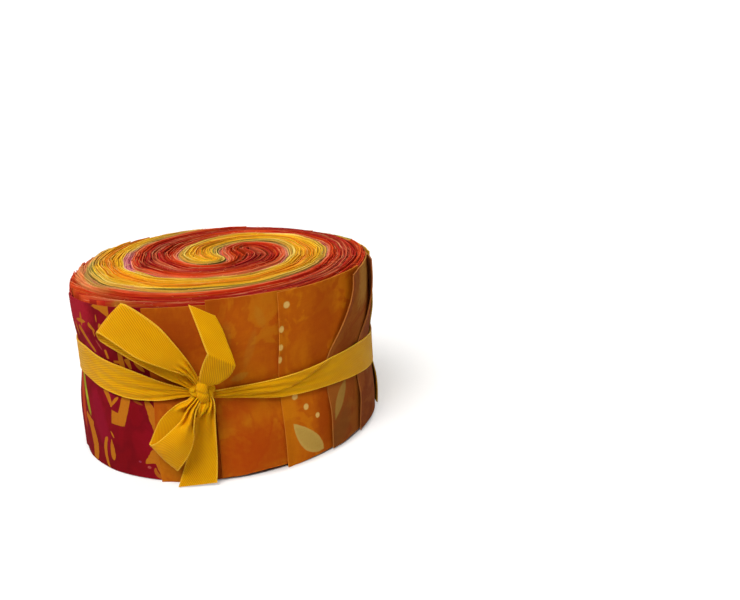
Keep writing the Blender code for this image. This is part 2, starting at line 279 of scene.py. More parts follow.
def newGroup(name, numbers, results):
    # Every group reads the place on the cloth in mm, and numbers with these usual values
    group = bpy.data.node_groups.new(name, "ShaderNodeTree")
    group.interface.new_socket("Cloth", in_out="INPUT", socket_type="NodeSocketVector")
    for label, value in numbers.items():
        socket = group.interface.new_socket(label, in_out="INPUT", socket_type="NodeSocketFloat")
        socket.default_value = value
    for label in results:
        group.interface.new_socket(label, in_out="OUTPUT", socket_type="NodeSocketFloat")
    return group, group.nodes.new("NodeGroupInput").outputs, group.nodes.new("NodeGroupOutput").inputs


def finishGroup(group, ends, **results):
    for label, value in results.items():
        group.links.new(value, ends[label.replace("_", " ")])
    return group


def useGroup(tree, group, **values):
    made = tree.nodes.new("ShaderNodeGroup")
    made.node_tree = group
    for key, value in values.items():
        put(tree, made.inputs[key.replace("_", " ")], value)
    return made.outputs


def buildPlainWeave():
    # Over-and-under threads, with uneven thickness
    group, take, ends = newGroup("plainWeave", {"Pitch": 0.32}, ("Height", "Slub"))
    split = add(group, "ShaderNodeSeparateXYZ", {0: take["Cloth"]}).outputs
    waves, slubs = [], []
    for axis, stretch in (("X", (0.12, 2.2, 1.0)), ("Y", (2.2, 0.12, 1.0))):
        turns = ratio(group, split[axis], take["Pitch"])
        waves.append(maths(group, "SINE", times(group, turns, math.pi)))
        slubs.append(streaks(group, take["Cloth"], stretch, 2.0))
    slub = plus(group, *slubs)
    height = timesPlus(group, times(group, *waves), 0.35, slub)
    return finishGroup(group, ends, Height=height, Slub=minus(group, slub, 0.5))


def buildBatikGround():
    # Soft dye clouds, larger watery patches, the darker line where a patch dried, and fine speckle
    group, take, ends = newGroup(
        "batikGround", {"Cloud Size": 14.0, "Seed": 0.0}, ("Cloud", "Patch", "Rim", "Speckle"))
    scale = ratio(group, 1.0, take["Cloud Size"])
    cloud = noise(group, take["Cloth"], scale, 5.0, {
        "W": take["Seed"], "Roughness": 0.58, "Distortion": 0.7}, noise_dimensions="4D")
    patch = noise(group, take["Cloth"], times(group, scale, 0.8), 4.0, {
        "W": plus(group, take["Seed"], 7.3), "Roughness": 0.55, "Distortion": 1.1}, noise_dimensions="4D")
    speckle = noise(group, take["Cloth"], 1.1, 3.0, {"Roughness": 0.7})
    rim = times(group, spread(group, patch, 0.40, 0.50), spread(group, patch, 0.54, 0.50))
    return finishGroup(
        group, ends, Cloud=spread(group, cloud, 0.35, 0.66), Patch=spread(group, patch, 0.42, 0.62), Rim=rim,
        Speckle=spread(group, speckle, 0.42, 0.72))


def buildPrintMark():
    # One printed mark: round, leaf-shaped or a cut shard, with a ragged dyed edge
    numbers = {"Middle X": 0.0, "Middle Y": 0.0, "Turn": 0.0, "Half Length": 2.0, "Half Width": 1.0,
               "Leaf": 0.0, "Shard": 0.0, "Wedge": 0.0, "Bend": 0.0, "Ragged": 0.1, "Soft": 0.1}
    group, take, ends = newGroup("printMark", numbers, ("Mask", "Rim"))
    split = add(group, "ShaderNodeSeparateXYZ", {0: take["Cloth"]}).outputs
    x, y = minus(group, split[0], take["Middle X"]), minus(group, split[1], take["Middle Y"])
    cosine, sine = maths(group, "COSINE", take["Turn"]), maths(group, "SINE", take["Turn"])
    along = plus(group, times(group, x, cosine), times(group, y, sine))
    side = minus(group, times(group, y, cosine), times(group, x, sine))
    along, side = ratio(group, along, take["Half Length"]), ratio(group, side, take["Half Width"])
    square = times(group, along, along)
    side = timesPlus(group, square, take["Bend"], side)
    room = maths(group, "MAXIMUM", timesPlus(group, along, take["Wedge"], 1.0), 0.05)
    side = maths(group, "ABSOLUTE", ratio(group, side, room))
    sideSquare = times(group, side, side)
    rounded, leaf = plus(group, sideSquare, square), plus(group, side, square)
    shard = maths(group, "MAXIMUM", sideSquare, square)
    shape = timesPlus(group, minus(group, leaf, rounded), take["Leaf"], rounded)
    shape = timesPlus(group, minus(group, shard, shape), take["Shard"], shape)
    rag = minus(group, noise(group, take["Cloth"], 0.55, 3.0), 0.5)
    shape = timesPlus(group, times(group, rag, take["Ragged"]), 6.0, shape)
    mask = spread(group, shape, plus(group, take["Soft"], 1.0), minus(group, 1.0, take["Soft"]))
    return finishGroup(group, ends, Mask=mask, Rim=times(group, spread(group, shape, 0.55, 0.9), mask))


def buildTwill():
    # Fine slanting ribs, and the raised, lighter selvedges of a woven ribbon
    group, take, ends = newGroup(
        "ribbonTwill", {"Width": 15.5, "Rib": 0.84}, ("Height", "Selvedge", "Rib Mask"))
    split = add(group, "ShaderNodeSeparateXYZ", {0: take["Cloth"]}).outputs
    slant = timesPlus(group, split[1], 0.45, split[0])
    ribs = maths(group, "SINE", ratio(group, times(group, slant, 2 * math.pi), take["Rib"]))
    weft = maths(group, "SINE", times(group, split[1], 2 * math.pi / 0.33))
    middle = times(group, take["Width"], 0.5)
    inset = minus(group, middle, maths(group, "ABSOLUTE", minus(group, split[0], middle)))
    selvedge = spread(group, inset, 0.75, 0.35)
    height = times(group, timesPlus(group, ribs, 0.5, times(group, weft, 0.22)), minus(group, 1.0, selvedge))
    height = plus(group, height, streaks(group, take["Cloth"], (3.0, 0.2, 1.0), 2.0))
    return finishGroup(group, ends, Height=plus(group, height, selvedge), Selvedge=selvedge,
                       Rib_Mask=timesPlus(group, ribs, 0.5, 0.5))


plainWeave = buildPlainWeave()
batikGround = buildBatikGround()
printMark = buildPrintMark()
ribbonTwill = buildTwill()
print("shader groups made")


def setInputs(node, values):
    for key, value in values.items():
        node.inputs[key].default_value = value


def startMaterial(name, sheenTint, roughness=0.85, sheen=0.06):
    material = bpy.data.materials.new(name)
    material.use_nodes = True
    tree = material.node_tree
    shader = tree.nodes["Principled BSDF"]
    setInputs(shader, {"Roughness": roughness, "Sheen Weight": sheen, "Sheen Roughness": 0.45,
                       "Sheen Tint": (*hexColour(sheenTint), 1.0), "Specular IOR Level": 0.05})
    place = add(tree, "ShaderNodeUVMap", uv_map="clothSize")
    cloth = add(tree, "ShaderNodeVectorMath", {0: place.outputs[0], 3: 1.0 / uvScale}, operation="SCALE")
    cut = add(tree, "ShaderNodeAttribute", attribute_name="cutEdge")
    return material, tree, shader, cloth.outputs[0], cut.outputs["Fac"]


def finishMaterial(tree, shader, colour, height, strength, depth):
    tree.links.new(colour, shader.inputs["Base Color"])
    relief = add(tree, "ShaderNodeBump", {"Strength": strength, "Distance": depth, "Height": height})
    tree.links.new(relief.outputs[0], shader.inputs["Normal"])


# A printed mark is its kind, its place from the strip's free edge and foot, its turn in degrees, its half
# length and width, and values in its kind's order. What a mark leaves out is as in plainMark
plainMark = {
    "leaf": 0.0, "shard": 0.0, "wedge": 0.0, "bend": 0.0, "ragged": 0.08, "soft": 0.09, "share": 1.0,
    "dye": None, "rim": None,
}
markKinds = {
    "chip": ("shard", "wedge", "bend", "ragged", "dye"),
    "leaf": ("leaf", "bend", "wedge", "soft", "share"),
    "cloud": ("soft", "ragged", "share", "dye"),
    "dot": ("soft", "rim"),
}
batik = {"patch": 0.8, "rim": 0.45, "markRim": 0.6, "speckle": 0.12, "edge": 0.32, "bump": 0.22,
         "depth": 0.00012, "slub": 0.3, "slubDye": (0.72, 0.62, 0.55)}


def batikMaterial(name, dyes, marks):
    material, tree, shader, cloth, cut = startMaterial(name, dyes["patch"])
    ground = useGroup(tree, batikGround, Cloth=cloth, Cloud_Size=dyes["cloudSize"], Seed=dyes["seed"])
    colour = blend(tree, ground["Cloud"], hexColour(dyes["ground"]), hexColour(dyes["cloud"]))
    colour = dyed(tree, ground["Patch"], batik["patch"], colour, dyes["patch"])
    colour = dyed(tree, ground["Rim"], batik["rim"], colour, dyes["rim"])
    for kind, x, y, turn, halfLength, halfWidth, *values in marks:
        more = values.pop() if values and isinstance(values[-1], dict) else {}
        mark = {**plainMark, **dict(zip(markKinds[kind], values)), **more}
        made = useGroup(tree, printMark, Cloth=cloth, Middle_X=x, Middle_Y=y, Turn=math.radians(turn),
                        Half_Length=halfLength, Half_Width=halfWidth, Leaf=mark["leaf"], Shard=mark["shard"],
                        Wedge=mark["wedge"], Bend=mark["bend"], Ragged=mark["ragged"], Soft=mark["soft"])
        colour = dyed(tree, made["Mask"], mark["share"], colour, mark["dye"] or dyes["print"])
        if mark["rim"]:
            colour = dyed(tree, made["Rim"], batik["markRim"], colour, mark["rim"])
    colour = dyed(tree, ground["Speckle"], batik["speckle"], colour, dyes["rim"])
    weave = useGroup(tree, plainWeave, Cloth=cloth)
    slub = maths(tree, "MULTIPLY", weave["Slub"], batik["slub"], clamp=True)
    colour = blend(tree, slub, colour, blend(tree, 1.0, colour, batik["slubDye"], "MULTIPLY"))
    colour = dyed(tree, spread(tree, cut, 0.35, 0.95), batik["edge"], colour, dyes["edge"])
    finishMaterial(tree, shader, colour, weave["Height"], batik["bump"], batik["depth"])
    return material


# Dyes of the strips, with the size of their clouds in mm
dyeColumns = ("ground", "cloud", "patch", "rim", "print", "edge", "cloudSize", "seed")
fabrics = {
    "crimson": ("#860D18", "#920F24", "#7C0B14", "#6A0A14", "#C07218", "#A02A2C", 24.0, 1.7),
    "rust": ("#BE5C0C", "#C86E10", "#B44E0C", "#A4440C", "#C87A14", "#D88430", 15.0, 3.1),
    "orange": ("#C66C0A", "#C05C0C", "#C47210", "#B0440A", "#B8862A", "#DC8C30", 15.0, 5.4),
    "orangeLeaf": ("#CE700A", "#C2600A", "#D0780C", "#B44A0A", "#E8BC66", "#E0963A", 17.0, 8.2),
    # The amberLeaf and amber dyes are darkened with painted shade, for the shaded right side of the roll
    "amberLeaf": ("#A4561A", "#96481A", "#A05C1E", "#8A3E14", "#9A8440", "#CC8A44", 14.0, 9.9),
    "amber": ("#985022", "#8A421E", "#9C5624", "#7C3818", "#A87840", "#BC7C40", 15.0, 12.5),
    "yellow": ("#D09A1C", "#C08414", "#DAAC2C", "#AC6E10", "#E4CC60", "#DCB448", 16.0, 15.1),
    "olive": ("#A8985A", "#9A823C", "#B4A878", "#866C28", "#A8821C", "#C4B67C", 12.0, 17.4),
    "peach": ("#D88A44", "#DE9A50", "#CC7036", "#BC5C28", "#E0A860", "#E8AC68", 18.0, 19.6),
    "honey": ("#D88E2C", "#DCA038", "#CC7628", "#BC6422", "#E4B858", "#E8B050", 15.0, 22.3),
    "magenta": ("#B22A38", "#BE3C50", "#9C1C30", "#8A1828", "#D8788C", "#CC5C68", 17.0, 27.2),
    "pink": ("#B83C60", "#C65C78", "#A42C4C", "#8E2440", "#DC8898", "#D87C90", 19.0, 29.5),
    "dotted": ("#CC6026", "#D2722C", "#C24E20", "#AE421C", "#E8C49C", "#E0905A", 15.0, 31.9),
    "red": ("#B0281A", "#C03C1E", "#9E1C18", "#8A1814", "#D4682C", "#CC5A40", 16.0, 34.4),
}

# Printed marks of each strip, in the order in which they are laid on
printed = {
    "crimson": [
        ("cloud", 5.0, 51.0, -82, 13.0, 3.6, 0.5, 0.2, 1.0, "#B42C18"),
        ("cloud", 6.5, 23.0, -84, 13.0, 3.6, 0.4, 0.2, 1.0, "#C0401A"),
        ("cloud", 14.5, 57.0, 10, 12.0, 7.0, 0.7, 0.2, 0.85, "#B01E30"),
        ("cloud", 25.0, 40.0, -60, 13.0, 3.5, 0.7, 0.25, 0.6, "#9E163C"),
        ("cloud", 24.0, 18.0, -75, 12.0, 4.0, 0.7, 0.2, 0.6, "#9A1432"),
        ("chip", 34.4, 62.0, -50, 3.6, 2.5, 1.0, -0.85, 0.2), ("leaf", 18.9, 55.0, -98, 2.7, 0.8, 0.8),
        ("leaf", 18.2, 54.2, 6, 4.2, 0.75, 0.8), ("leaf", 30.0, 57.4, -88, 1.5, 0.32, 0.6),
        ("chip", 26.0, 53.4, -28, 2.2, 0.75, 0.7, -0.4), ("leaf", 27.0, 51.8, -82, 1.7, 0.42, 0.5),
        ("leaf", 12.8, 49.8, -70, 2.6, 0.7, 0.6), ("chip", 20.8, 48.0, -38, 6.3, 0.9, 0.8, -0.25, 0.2),
        ("chip", 32.4, 54.4, -20, 1.8, 1.1, 0.8),
        ("leaf", 28.6, 47.4, -50, 2.2, 0.5, 0.6, {"dye": "#A84038"}),
        ("chip", 31.9, 44.6, -78, 1.7, 0.62, 0.9), ("chip", 38.5, 43.4, -90, 3.4, 1.1, 1.0, 0.15),
        ("chip", 36.6, 42.4, 4, 1.9, 0.55, 0.7), ("chip", 41.5, 42.4, -74, 1.9, 0.9, 0.9, -0.4),
        ("leaf", 45.6, 41.8, -44, 2.6, 0.85, 0.5), ("chip", 29.9, 28.2, -60, 3.4, 0.95, 0.8, -0.35, 0.3),
        ("leaf", 33.0, 27.6, 46, 2.6, 0.62, 0.5, 0.3),
        ("chip", 37.0, 25.0, -108, 5.8, 1.9, 1.0, 0.05, 0.1, 0.06),
        ("chip", 33.8, 21.2, -6, 2.9, 2.3, 1.0, -0.1, 0.0, 0.06),
        ("chip", 16.8, 9.4, -80, 9.0, 2.3, 0.6, 0.0, 1.2, 0.12),
        ("chip", 14.2, 15.4, -20, 3.6, 1.6, 0.5, 0.0, -0.5, 0.12),
        ("chip", 24.6, 6.8, -97, 6.4, 1.0, 0.5, 0.0, -1.7), ("leaf", 30.3, 14.6, -58, 1.4, 0.42, 0.5),
        ("leaf", 29.2, 8.4, -94, 4.3, 1.2, 0.5, 0.0, 0.5),
        ("chip", 48.9, 24.4, -66, 5.6, 1.9, 0.9, 0.5, 0.0, 0.14),
        ("leaf", 43.0, 28.6, -20, 2.4, 0.5, 0.7, 0.0, 0.0, 0.09, 0.4),
        ("chip", 47.6, 8.6, 32, 4.6, 2.3, 0.8, 0.85, 0.0, 0.2),
        ("chip", 49.6, 6.0, -75, 4.2, 1.6, 0.7, 0.0, 0.0, 0.16),
        ("chip", 48.0, 2.2, -52, 2.4, 0.75, 0.5, 0.0, -1.2, 0.08, "#B0601C"),
        ("dot", 45.1, 4.7, 0, 0.75, 0.5, {"dye": "#B05048"}),
        ("dot", 41.6, 6.4, 0, 0.6, 0.4, {"dye": "#98384C"}),
        ("chip", 12.6, 26.0, -66, 8.6, 1.5, 0.3, 0.0, 0.2, 0.08, "#9A9A20", {"soft": 0.3}),
        ("dot", 13.4, 25.0, -68, 2.4, 0.9, 0.3, {"leaf": 0.5, "dye": "#BCBC38"}),
    ],
    "rust": [
        ("cloud", 8.0, 50.0, 70, 13.0, 7.0, 0.8, 0.2, 0.8, "#A84A0C"),
        ("cloud", 9.0, 8.0, 10, 10.0, 8.0, 0.8, 0.2, 0.7, "#CC7E14"),
    ],
    "orange": [
        ("leaf", 5.5, 51.0, 82, 6.0, 1.8, 0.5, 0.0, 0.0, 0.6, 0.22),
        ("leaf", 13.5, 46.0, 70, 7.0, 1.5, 0.5, 0.0, 0.0, 0.6, 0.2),
        ("leaf", 18.0, 56.5, 105, 4.0, 1.6, 0.5, 0.0, 0.0, 0.6, 0.2),
        ("leaf", 9.0, 36.6, 15, 3.2, 1.3, 0.5, 0.0, 0.0, 0.4, 0.4),
        ("cloud", 13.5, 9.0, 0, 13.0, 9.0, 0.9, 0.3, 0.75, "#B04008"),
        ("cloud", 8.0, 26.0, 40, 9.0, 4.5, 0.9, 0.3, 0.6, "#B84A0A"),
        ("cloud", 3.0, 60.0, 90, 12.0, 3.0, 0.9, 0.2, 0.6, "#AC4E0A"),
    ],
    "orangeLeaf": [
        ("cloud", 19.0, 50.0, 80, 16.0, 6.0, 0.9, 0.3, 0.7, "#B04A08"),
        ("cloud", 19.0, 14.0, 85, 17.0, 5.0, 0.9, 0.2, 0.85, "#A84608"),
        ("cloud", 2.2, 13.0, 90, 18.0, 3.4, 0.9, 0.2, 0.6, "#CC780C"),
        ("cloud", 12.0, 24.0, 20, 6.0, 3.0, 0.9, 0.2, 0.5, "#B85008"),
        *(("dot", x, y, 0, halfLength, halfWidth, 0.35, "#C49A3C") for x, y, halfLength, halfWidth in (
            (3.4, 58.9, 1.25, 1.2), (0.9, 50.9, 1.0, 1.15), (0.5, 44.5, 0.95, 1.15), (0.3, 39.9, 0.9, 1.3),
            (5.6, 24.8, 1.2, 1.1), (9.8, 20.0, 1.1, 1.15), (14.6, 15.4, 0.95, 1.0))),
        ("leaf", 9.2, 7.9, -47, 9.2, 3.4, 0.75, -0.3, 0.26, 0.08,
         {"ragged": 0.02, "dye": "#C4A04C", "rim": "#D0AE58"}),
    ],
    "amberLeaf": [
        ("cloud", 15.0, 57.0, 80, 9.0, 7.0, 0.9, 0.3, 0.8, "#B88438"),
        ("cloud", 10.0, 34.0, 80, 8.0, 7.0, 0.9, 0.3, 0.8, "#8E4410"),
        ("cloud", 4.0, 6.0, 50, 10.0, 5.0, 0.9, 0.3, 0.7, "#845020"),
        ("leaf", 5.6, 17.9, 56, 7.6, 2.1, 0.75, 0.2, 0.1, 0.25, 0.75, {"ragged": 0.03, "dye": "#B08C40"}),
    ],
    "amber": [("leaf", 12.0, 30.0, 70, 10.0, 3.0, 0.75, 0.2, 0.0, 0.4, 0.3)],
    "yellow": [
        ("leaf", 9.0 + 9.0 * (i % 2), 8.0 + 12.5 * i, 60 + 50 * (i % 2), 6.5, 2.2, 0.8, 0.25, 0.0, 0.2, 0.6)
        for i in range(5)
    ],
    "olive": [
        ("leaf", 6.5 + 10.5 * (i % 2), 7.0 + 9.6 * i, 56 + 62 * (i % 2), 7.6, 2.9, 0.75,
         0.25 - 0.5 * (i % 2), 0.0, 0.12, 1.0, {"dye": ("#A8821C", "#C4BC94")[i % 2]})
        for i in range(6)
    ],
    "peach": [
        ("cloud", 12.0, 18.0, 40, 9.0, 5.0, 0.8, 0.3, 0.5),
        ("cloud", 8.0, 46.0, 100, 10.0, 5.0, 0.8, 0.3, 0.5),
    ],
    "honey": [("cloud", 11.0, 12.0 + 19.0 * i, 30 + 65 * i, 8.0, 3.6, 0.6, 0.3, 0.5) for i in range(3)],
    "magenta": [("cloud", 12.0, 14.0 + 17.0 * i, 70 - 55 * i, 9.0, 3.4, 0.8, 0.4, 0.4) for i in range(3)],
    "pink": [("cloud", 10.0, 10.0 + 20.0 * i, 25 + 60 * i, 10.0, 4.2, 0.8, 0.4, 0.4) for i in range(3)],
    "dotted": [
        ("dot", 2.8 + 5.2 * (i % 4) + 2.6 * (i // 4 % 2), 3.6 + 5.2 * (i // 4), 0, 0.95, 0.95, {"share": 0.9})
        for i in range(48)
    ],
    "red": [
        ("leaf", 9.0, 12.0 + 20.0 * i, 50 + 40 * i, 7.0, 2.2, 0.6, 0.0, 0.0, 0.3, 0.6, {"ragged": 0.2})
        for i in range(3)
    ],
}
slotNames = {"orangeLeaf": "batik_orange_leaf", "amberLeaf": "batik_amber_leaf"}
cottons = {
    slotNames.get(fabric, "batik_" + fabric):
        batikMaterial("cotton_" + fabric, dict(zip(dyeColumns, row)), printed[fabric])
    for fabric, row in fabrics.items()
}
print("batik cottons made:", len(cottons))


# The wound strips: every strip turns about the two eyes of the winding, and lies against the next
wound = {
    "strips": 40, "stack": 17.5, "middle": (2.7, 7.0), "eyeAzimuth": 42.0, "pull": (1.0, 2.2, 2.6),
    "cloth": 0.34, "closeGap": 0.015, "wideShare": 0.32, "step": 2.2, "rimInset": 1.5, "least": 0.45,
    "turns": 5, "shiftPlan": 0.6, "shiftWave": 15.0, "bunch": 0.10, "bunchWave": 34.0, "toneSpread": 0.17,
    "dyeWave": 70.0, "endsLower": 0.5, "endReach": 9.0, "topLevel": 63.6, "topUneven": 0.38, "topWave": 0.34,
    "waveLength": 40.0, "leanTop": 0.12, "leanWave": 6.0, "foot": 0.35, "rimFoot": 1.0,
    "levels": (9.0, 20.0, 29.0, 36.0, 44.0, 53.0), "pieces": 4, "stripLength": 559.0,
    "cloudSize": 26.0, "seed": 40.0, "shade": (0.70, 0.50, 0.50), "warm": "#F09020", "warmShare": 0.30,
    "patch": 0.5, "pale": "#FCD890", "paleShare": 0.34, "sheenTint": "#E07030",
    "bump": 0.25, "depth": 0.00015,
}
fibre = {
    "count": 42, "perSteps": 2600.0, "radius": 0.045, "length": (0.6, 2.2), "longShare": 0.12, "longer": 2.6,
    "turn": 0.7, "bend": 0.8, "sink": 0.1, "rise": 0.5, "curve": (1.2, 3.0),
    "dye": "#F4C888", "dyeShare": 0.3,
}
# Dyes of the stack from its first strip to its last: strips, and two colours that run along them
stackDyes = (
    (2, "#F4A41E", "#EC8A14"), (2, "#EE981A", "#F6C82C"), (2, "#F8C62C", "#F2A41C"),
    (3, "#FAD434", "#F4BC20"), (2, "#F6C826", "#F8D858"), (1, "#F8E070", "#F0C830"),
    (1, "#A09A3C", "#E8C840"), (2, "#EACC5C", "#E8B848"), (1, "#76702C", "#B89C50"),
    (1, "#E0B878", "#C8A060"), (2, "#E88478", "#E0706C"), (1, "#F0A080", "#E86C50"),
    (2, "#E86840", "#F08C60"), (2, "#DC4824", "#E46038"), (1, "#F08C68", "#D84028"),
    (2, "#CC2C14", "#D84420"), (3, "#D43C1C", "#C02818"), (2, "#B01810", "#CC3018"),
    (1, "#E06048", "#B82018"), (3, "#B41420", "#C42A20"), (2, "#980E18", "#B81C24"),
    (1, "#E0684C", "#B42428"), (1, "#940E1A", "#C42C2C"),
)
# Places on the top where the dyes differ: azimuth and its reach, from and to radius, strips, colour
dyedPlaces = (
    (190.0, 40.0, 31.0, 41.0, 12, 19, "#E07C9C"), (196.0, 30.0, 46.5, 48.5, 0, 40, "#B8A858"),
    (194.0, 32.0, 49.0, 51.5, 0, 40, "#EC9C60"), (196.0, 36.0, 52.0, 60.0, 0, 40, "#DC4420"),
    (246.0, 6.5, 54.0, 60.0, 0, 40, "#C8A83C"), (204.0, 6.0, 54.4, 60.0, 0, 40, "#8C8430"),
    (262.0, 20.0, 48.0, 60.0, 0, 40, "#B41818"), (180.0, 20.0, 25.0, 29.0, 0, 40, "#980C20"),
)


def reachAndAzimuth(path):
    return np.hypot(path[:, 0], path[:, 1]), np.degrees(np.arctan2(path[:, 1], path[:, 0]))


def dyesAlong(path, along, first, second, strip):
    share = smooth(-0.5, 0.5, ripple(along, 0.0 * along, wound["dyeWave"], 200 + strip, 5))[:, None]
    dyes = np.array(first) * (1.0 - share) + np.array(second) * share
    reach, azimuth = reachAndAzimuth(path)
    for middle, width, low, high, fromStrip, toStrip, code in dyedPlaces:
        if not fromStrip <= strip < toStrip:
            continue
        away = np.abs((azimuth - middle + 180.0) % 360.0 - 180.0)
        here = (1.0 - smooth(0.6 * width, 1.3 * width, away)) * smooth(low - 0.8, low + 0.4, reach)
        here = (0.85 * here * (1.0 - smooth(high - 0.4, high + 0.8, reach)))[:, None]
        dyes = dyes * (1.0 - here) + np.array(hexColour(code)) * here
    return dyes


def eyePlace(which):
    angle = math.radians(wound["eyeAzimuth"])
    reach = which * wound["stack"] / 2.0
    x, y = wound["middle"]
    return np.array([x + reach * math.cos(angle), y + reach * math.sin(angle)])


def stripArm(place, fromNear):
    # One arm of a strip, from between the eyes outward: half circles about the two eyes in turn
    near, far = eyePlace(-1), eyePlace(1)
    stack, phi = wound["stack"], wound["eyeAzimuth"]
    points = []
    for turn in range(wound["turns"]):
        centre = near if fromNear == (turn % 2 == 0) else far
        radius = turn * stack + place if fromNear else (turn + 1) * stack - place
        start = phi - 180.0 * turn if fromNear else phi + 180.0 - 180.0 * turn
        radius = max(radius, wound["least"])
        steps = max(7, int(math.pi * radius / wound["step"]))
        for step in range(steps):
            angle = math.radians(start - 180.0 * step / steps)
            points.append(centre + radius * np.array([math.cos(angle), math.sin(angle)]))
    return np.array(points)


def pulled(points):
    # The first turns are pulled wide towards the back right, where the winding was tightened
    reach, angle = np.hypot(points[:, 0], points[:, 1]), np.arctan2(points[:, 1], points[:, 0])
    even, toRight, toBack = wound["pull"]
    extra = (even + toRight * np.cos(angle) + toBack * np.sin(angle)) * smooth(6.0, 16.0, reach)
    extra = extra * (1.0 - smooth(36.0, 48.0, reach))
    return points * (1.0 + extra / np.maximum(reach, 1.0))[:, None]


def stripRuns(place):
    # The lengths of a strip that lie inside the rim, with their distance from it
    inner, outer = stripArm(place, False), stripArm(place, True)
    path = pulled(np.concatenate([inner[:0:-1], outer]))
    reach, azimuth = reachAndAzimuth(path)
    room = rimRadius(azimuth) - wound["rimInset"] - reach
    breaks = np.flatnonzero(np.diff((room > 0.0).astype(int))) + 1
    runs = zip(np.split(path, breaks), np.split(room, breaks))
    return [(points, gaps) for points, gaps in runs if gaps[0] > 0.0 and len(points) > 3]


def woundMaterial():
    material, tree, shader, cloth, cut = startMaterial("cotton_wound", wound["sheenTint"])
    dye = add(tree, "ShaderNodeAttribute", attribute_name="dye").outputs["Color"]
    ground = useGroup(tree, batikGround, Cloth=cloth, Cloud_Size=wound["cloudSize"], Seed=wound["seed"])
    colour = blend(tree, ground["Cloud"], dye, blend(tree, 1.0, dye, wound["shade"], "MULTIPLY"))
    warm = blend(tree, wound["warmShare"], dye, hexColour(wound["warm"]))
    colour = blend(tree, times(tree, ground["Patch"], wound["patch"]), colour, warm)
    pale = blend(tree, wound["paleShare"], dye, hexColour(wound["pale"]))
    streak = spread(tree, streaks(tree, cloth, (0.07, 0.07, 1.0), 4.0), 0.52, 0.74)
    colour = blend(tree, times(tree, spread(tree, cut, 0.6, 1.0), streak), colour, pale)
    weave = useGroup(tree, plainWeave, Cloth=cloth)
    finishMaterial(tree, shader, colour, weave["Height"], wound["bump"], wound["depth"])
    return material


def fibresOn(path, top, colours, dice):
    # Loose fibres that stand off the top edge of a strip
    fibres = []
    for _ in range(int(fibre["count"] * len(path) / fibre["perSteps"] * wound["pieces"]) + 1):
        pick = int(dice.integers(1, len(path) - 1))
        length = dice.uniform(*fibre["length"])
        length *= fibre["longer"] if dice.uniform() < fibre["longShare"] else 1.0
        turn = math.atan2(*(path[pick + 1] - path[pick])[::-1]) + dice.normal(0.0, fibre["turn"])
        steps = np.linspace(0.0, 1.0, 5)
        turns = turn + steps * dice.normal(0.0, fibre["bend"])
        start = top[pick]
        thread = np.column_stack([
            start[0] + length * steps * np.cos(turns), start[1] + length * steps * np.sin(turns),
            start[2] - fibre["sink"] + fibre["rise"] * np.sin(steps * dice.uniform(*fibre["curve"]))])
        dyeShare = fibre["dyeShare"]
        shade = (1.0 - dyeShare) * colours[pick] + dyeShare * np.array(hexColour(fibre["dye"]))
        fibres.append(threadPart(thread, fibre["radius"], shade))
    return fibres


def woundRun(strip, path, room, uneven, dyes, dice):
    # One run of a strip as a thin sheet that stands on its long edge, with the fibres on its top
    along = lengthAlong(path)
    x, y = path[:, 0], path[:, 1]
    ahead = np.gradient(path, axis=0)
    aside = np.stack([ahead[:, 1], -ahead[:, 0]], axis=1) / np.linalg.norm(ahead, axis=1, keepdims=True)
    bunched = wound["bunch"] * ripple(along, 0.0 * along, wound["bunchWave"], 500 + strip // 3, 5)
    shift = np.stack([ripple(x, y, wound["shiftWave"], seed) for seed in (3, 4)], axis=1)
    path = path + (wound["shiftPlan"] * smooth(1.0, 12.0, room))[:, None] * shift
    path = path + aside * (bunched * smooth(0.5, 4.0, room))[:, None]
    reach, azimuth = reachAndAzimuth(path)
    outward, inward = path / np.maximum(reach, 1.0)[:, None], inwardShare(reach)
    lift = uneven + wound["topWave"] * ripple(along, 0.0 * along, wound["waveLength"], 100 + strip, 5)
    toEnd = np.minimum(along, along[-1] - along)
    ended = wound["endsLower"] * (1.0 - smooth(0.0, wound["endReach"], toEnd)) * smooth(44.0, 50.0, reach)
    top = wound["topLevel"] + np.clip(lift, -0.9, 0.8) - ended
    bottom = wound["foot"] - np.clip(0.5 * lift, -0.5, 0.3) + wound["rimFoot"] * smooth(46.0, 53.0, reach)
    lean = np.stack([ripple(x, y, wound["leanWave"], seed) for seed in (5, 6)], axis=1)
    lean = lean * (wound["leanTop"] * smooth(0.5, 6.0, room))[:, None]
    middles = [np.full(len(path), level) for level in wound["levels"]]
    levels = [bottom, bottom + 1.0, *middles, top - 2.2, top - 0.45, top]
    shares = [0.0] * (len(levels) - 3) + [0.5, 1.0, 1.0]
    cuts = np.zeros(len(levels))
    cuts[[0, -1]] = 1.0
    rows = []
    for share, level in zip(shares, levels):
        place = path + lean * share + outward * (drawnIn(azimuth, level) * inward)[:, None]
        rows.append(np.column_stack([place, level]))
    uvRows = [np.column_stack([along + 90.0 * strip, level]) for level in levels]
    tone = 1.0 + wound["toneSpread"] * math.sin(2.4 * strip)
    colours = tone * dyesAlong(path, along, *dyes, strip)
    part = gridPart(np.array(rows), wound["cloth"], np.array(uvRows), cuts[:, None] * np.ones(len(path)),
                    colours[None])
    return [part, *fibresOn(path, rows[-1], colours, dice)], along[-1]


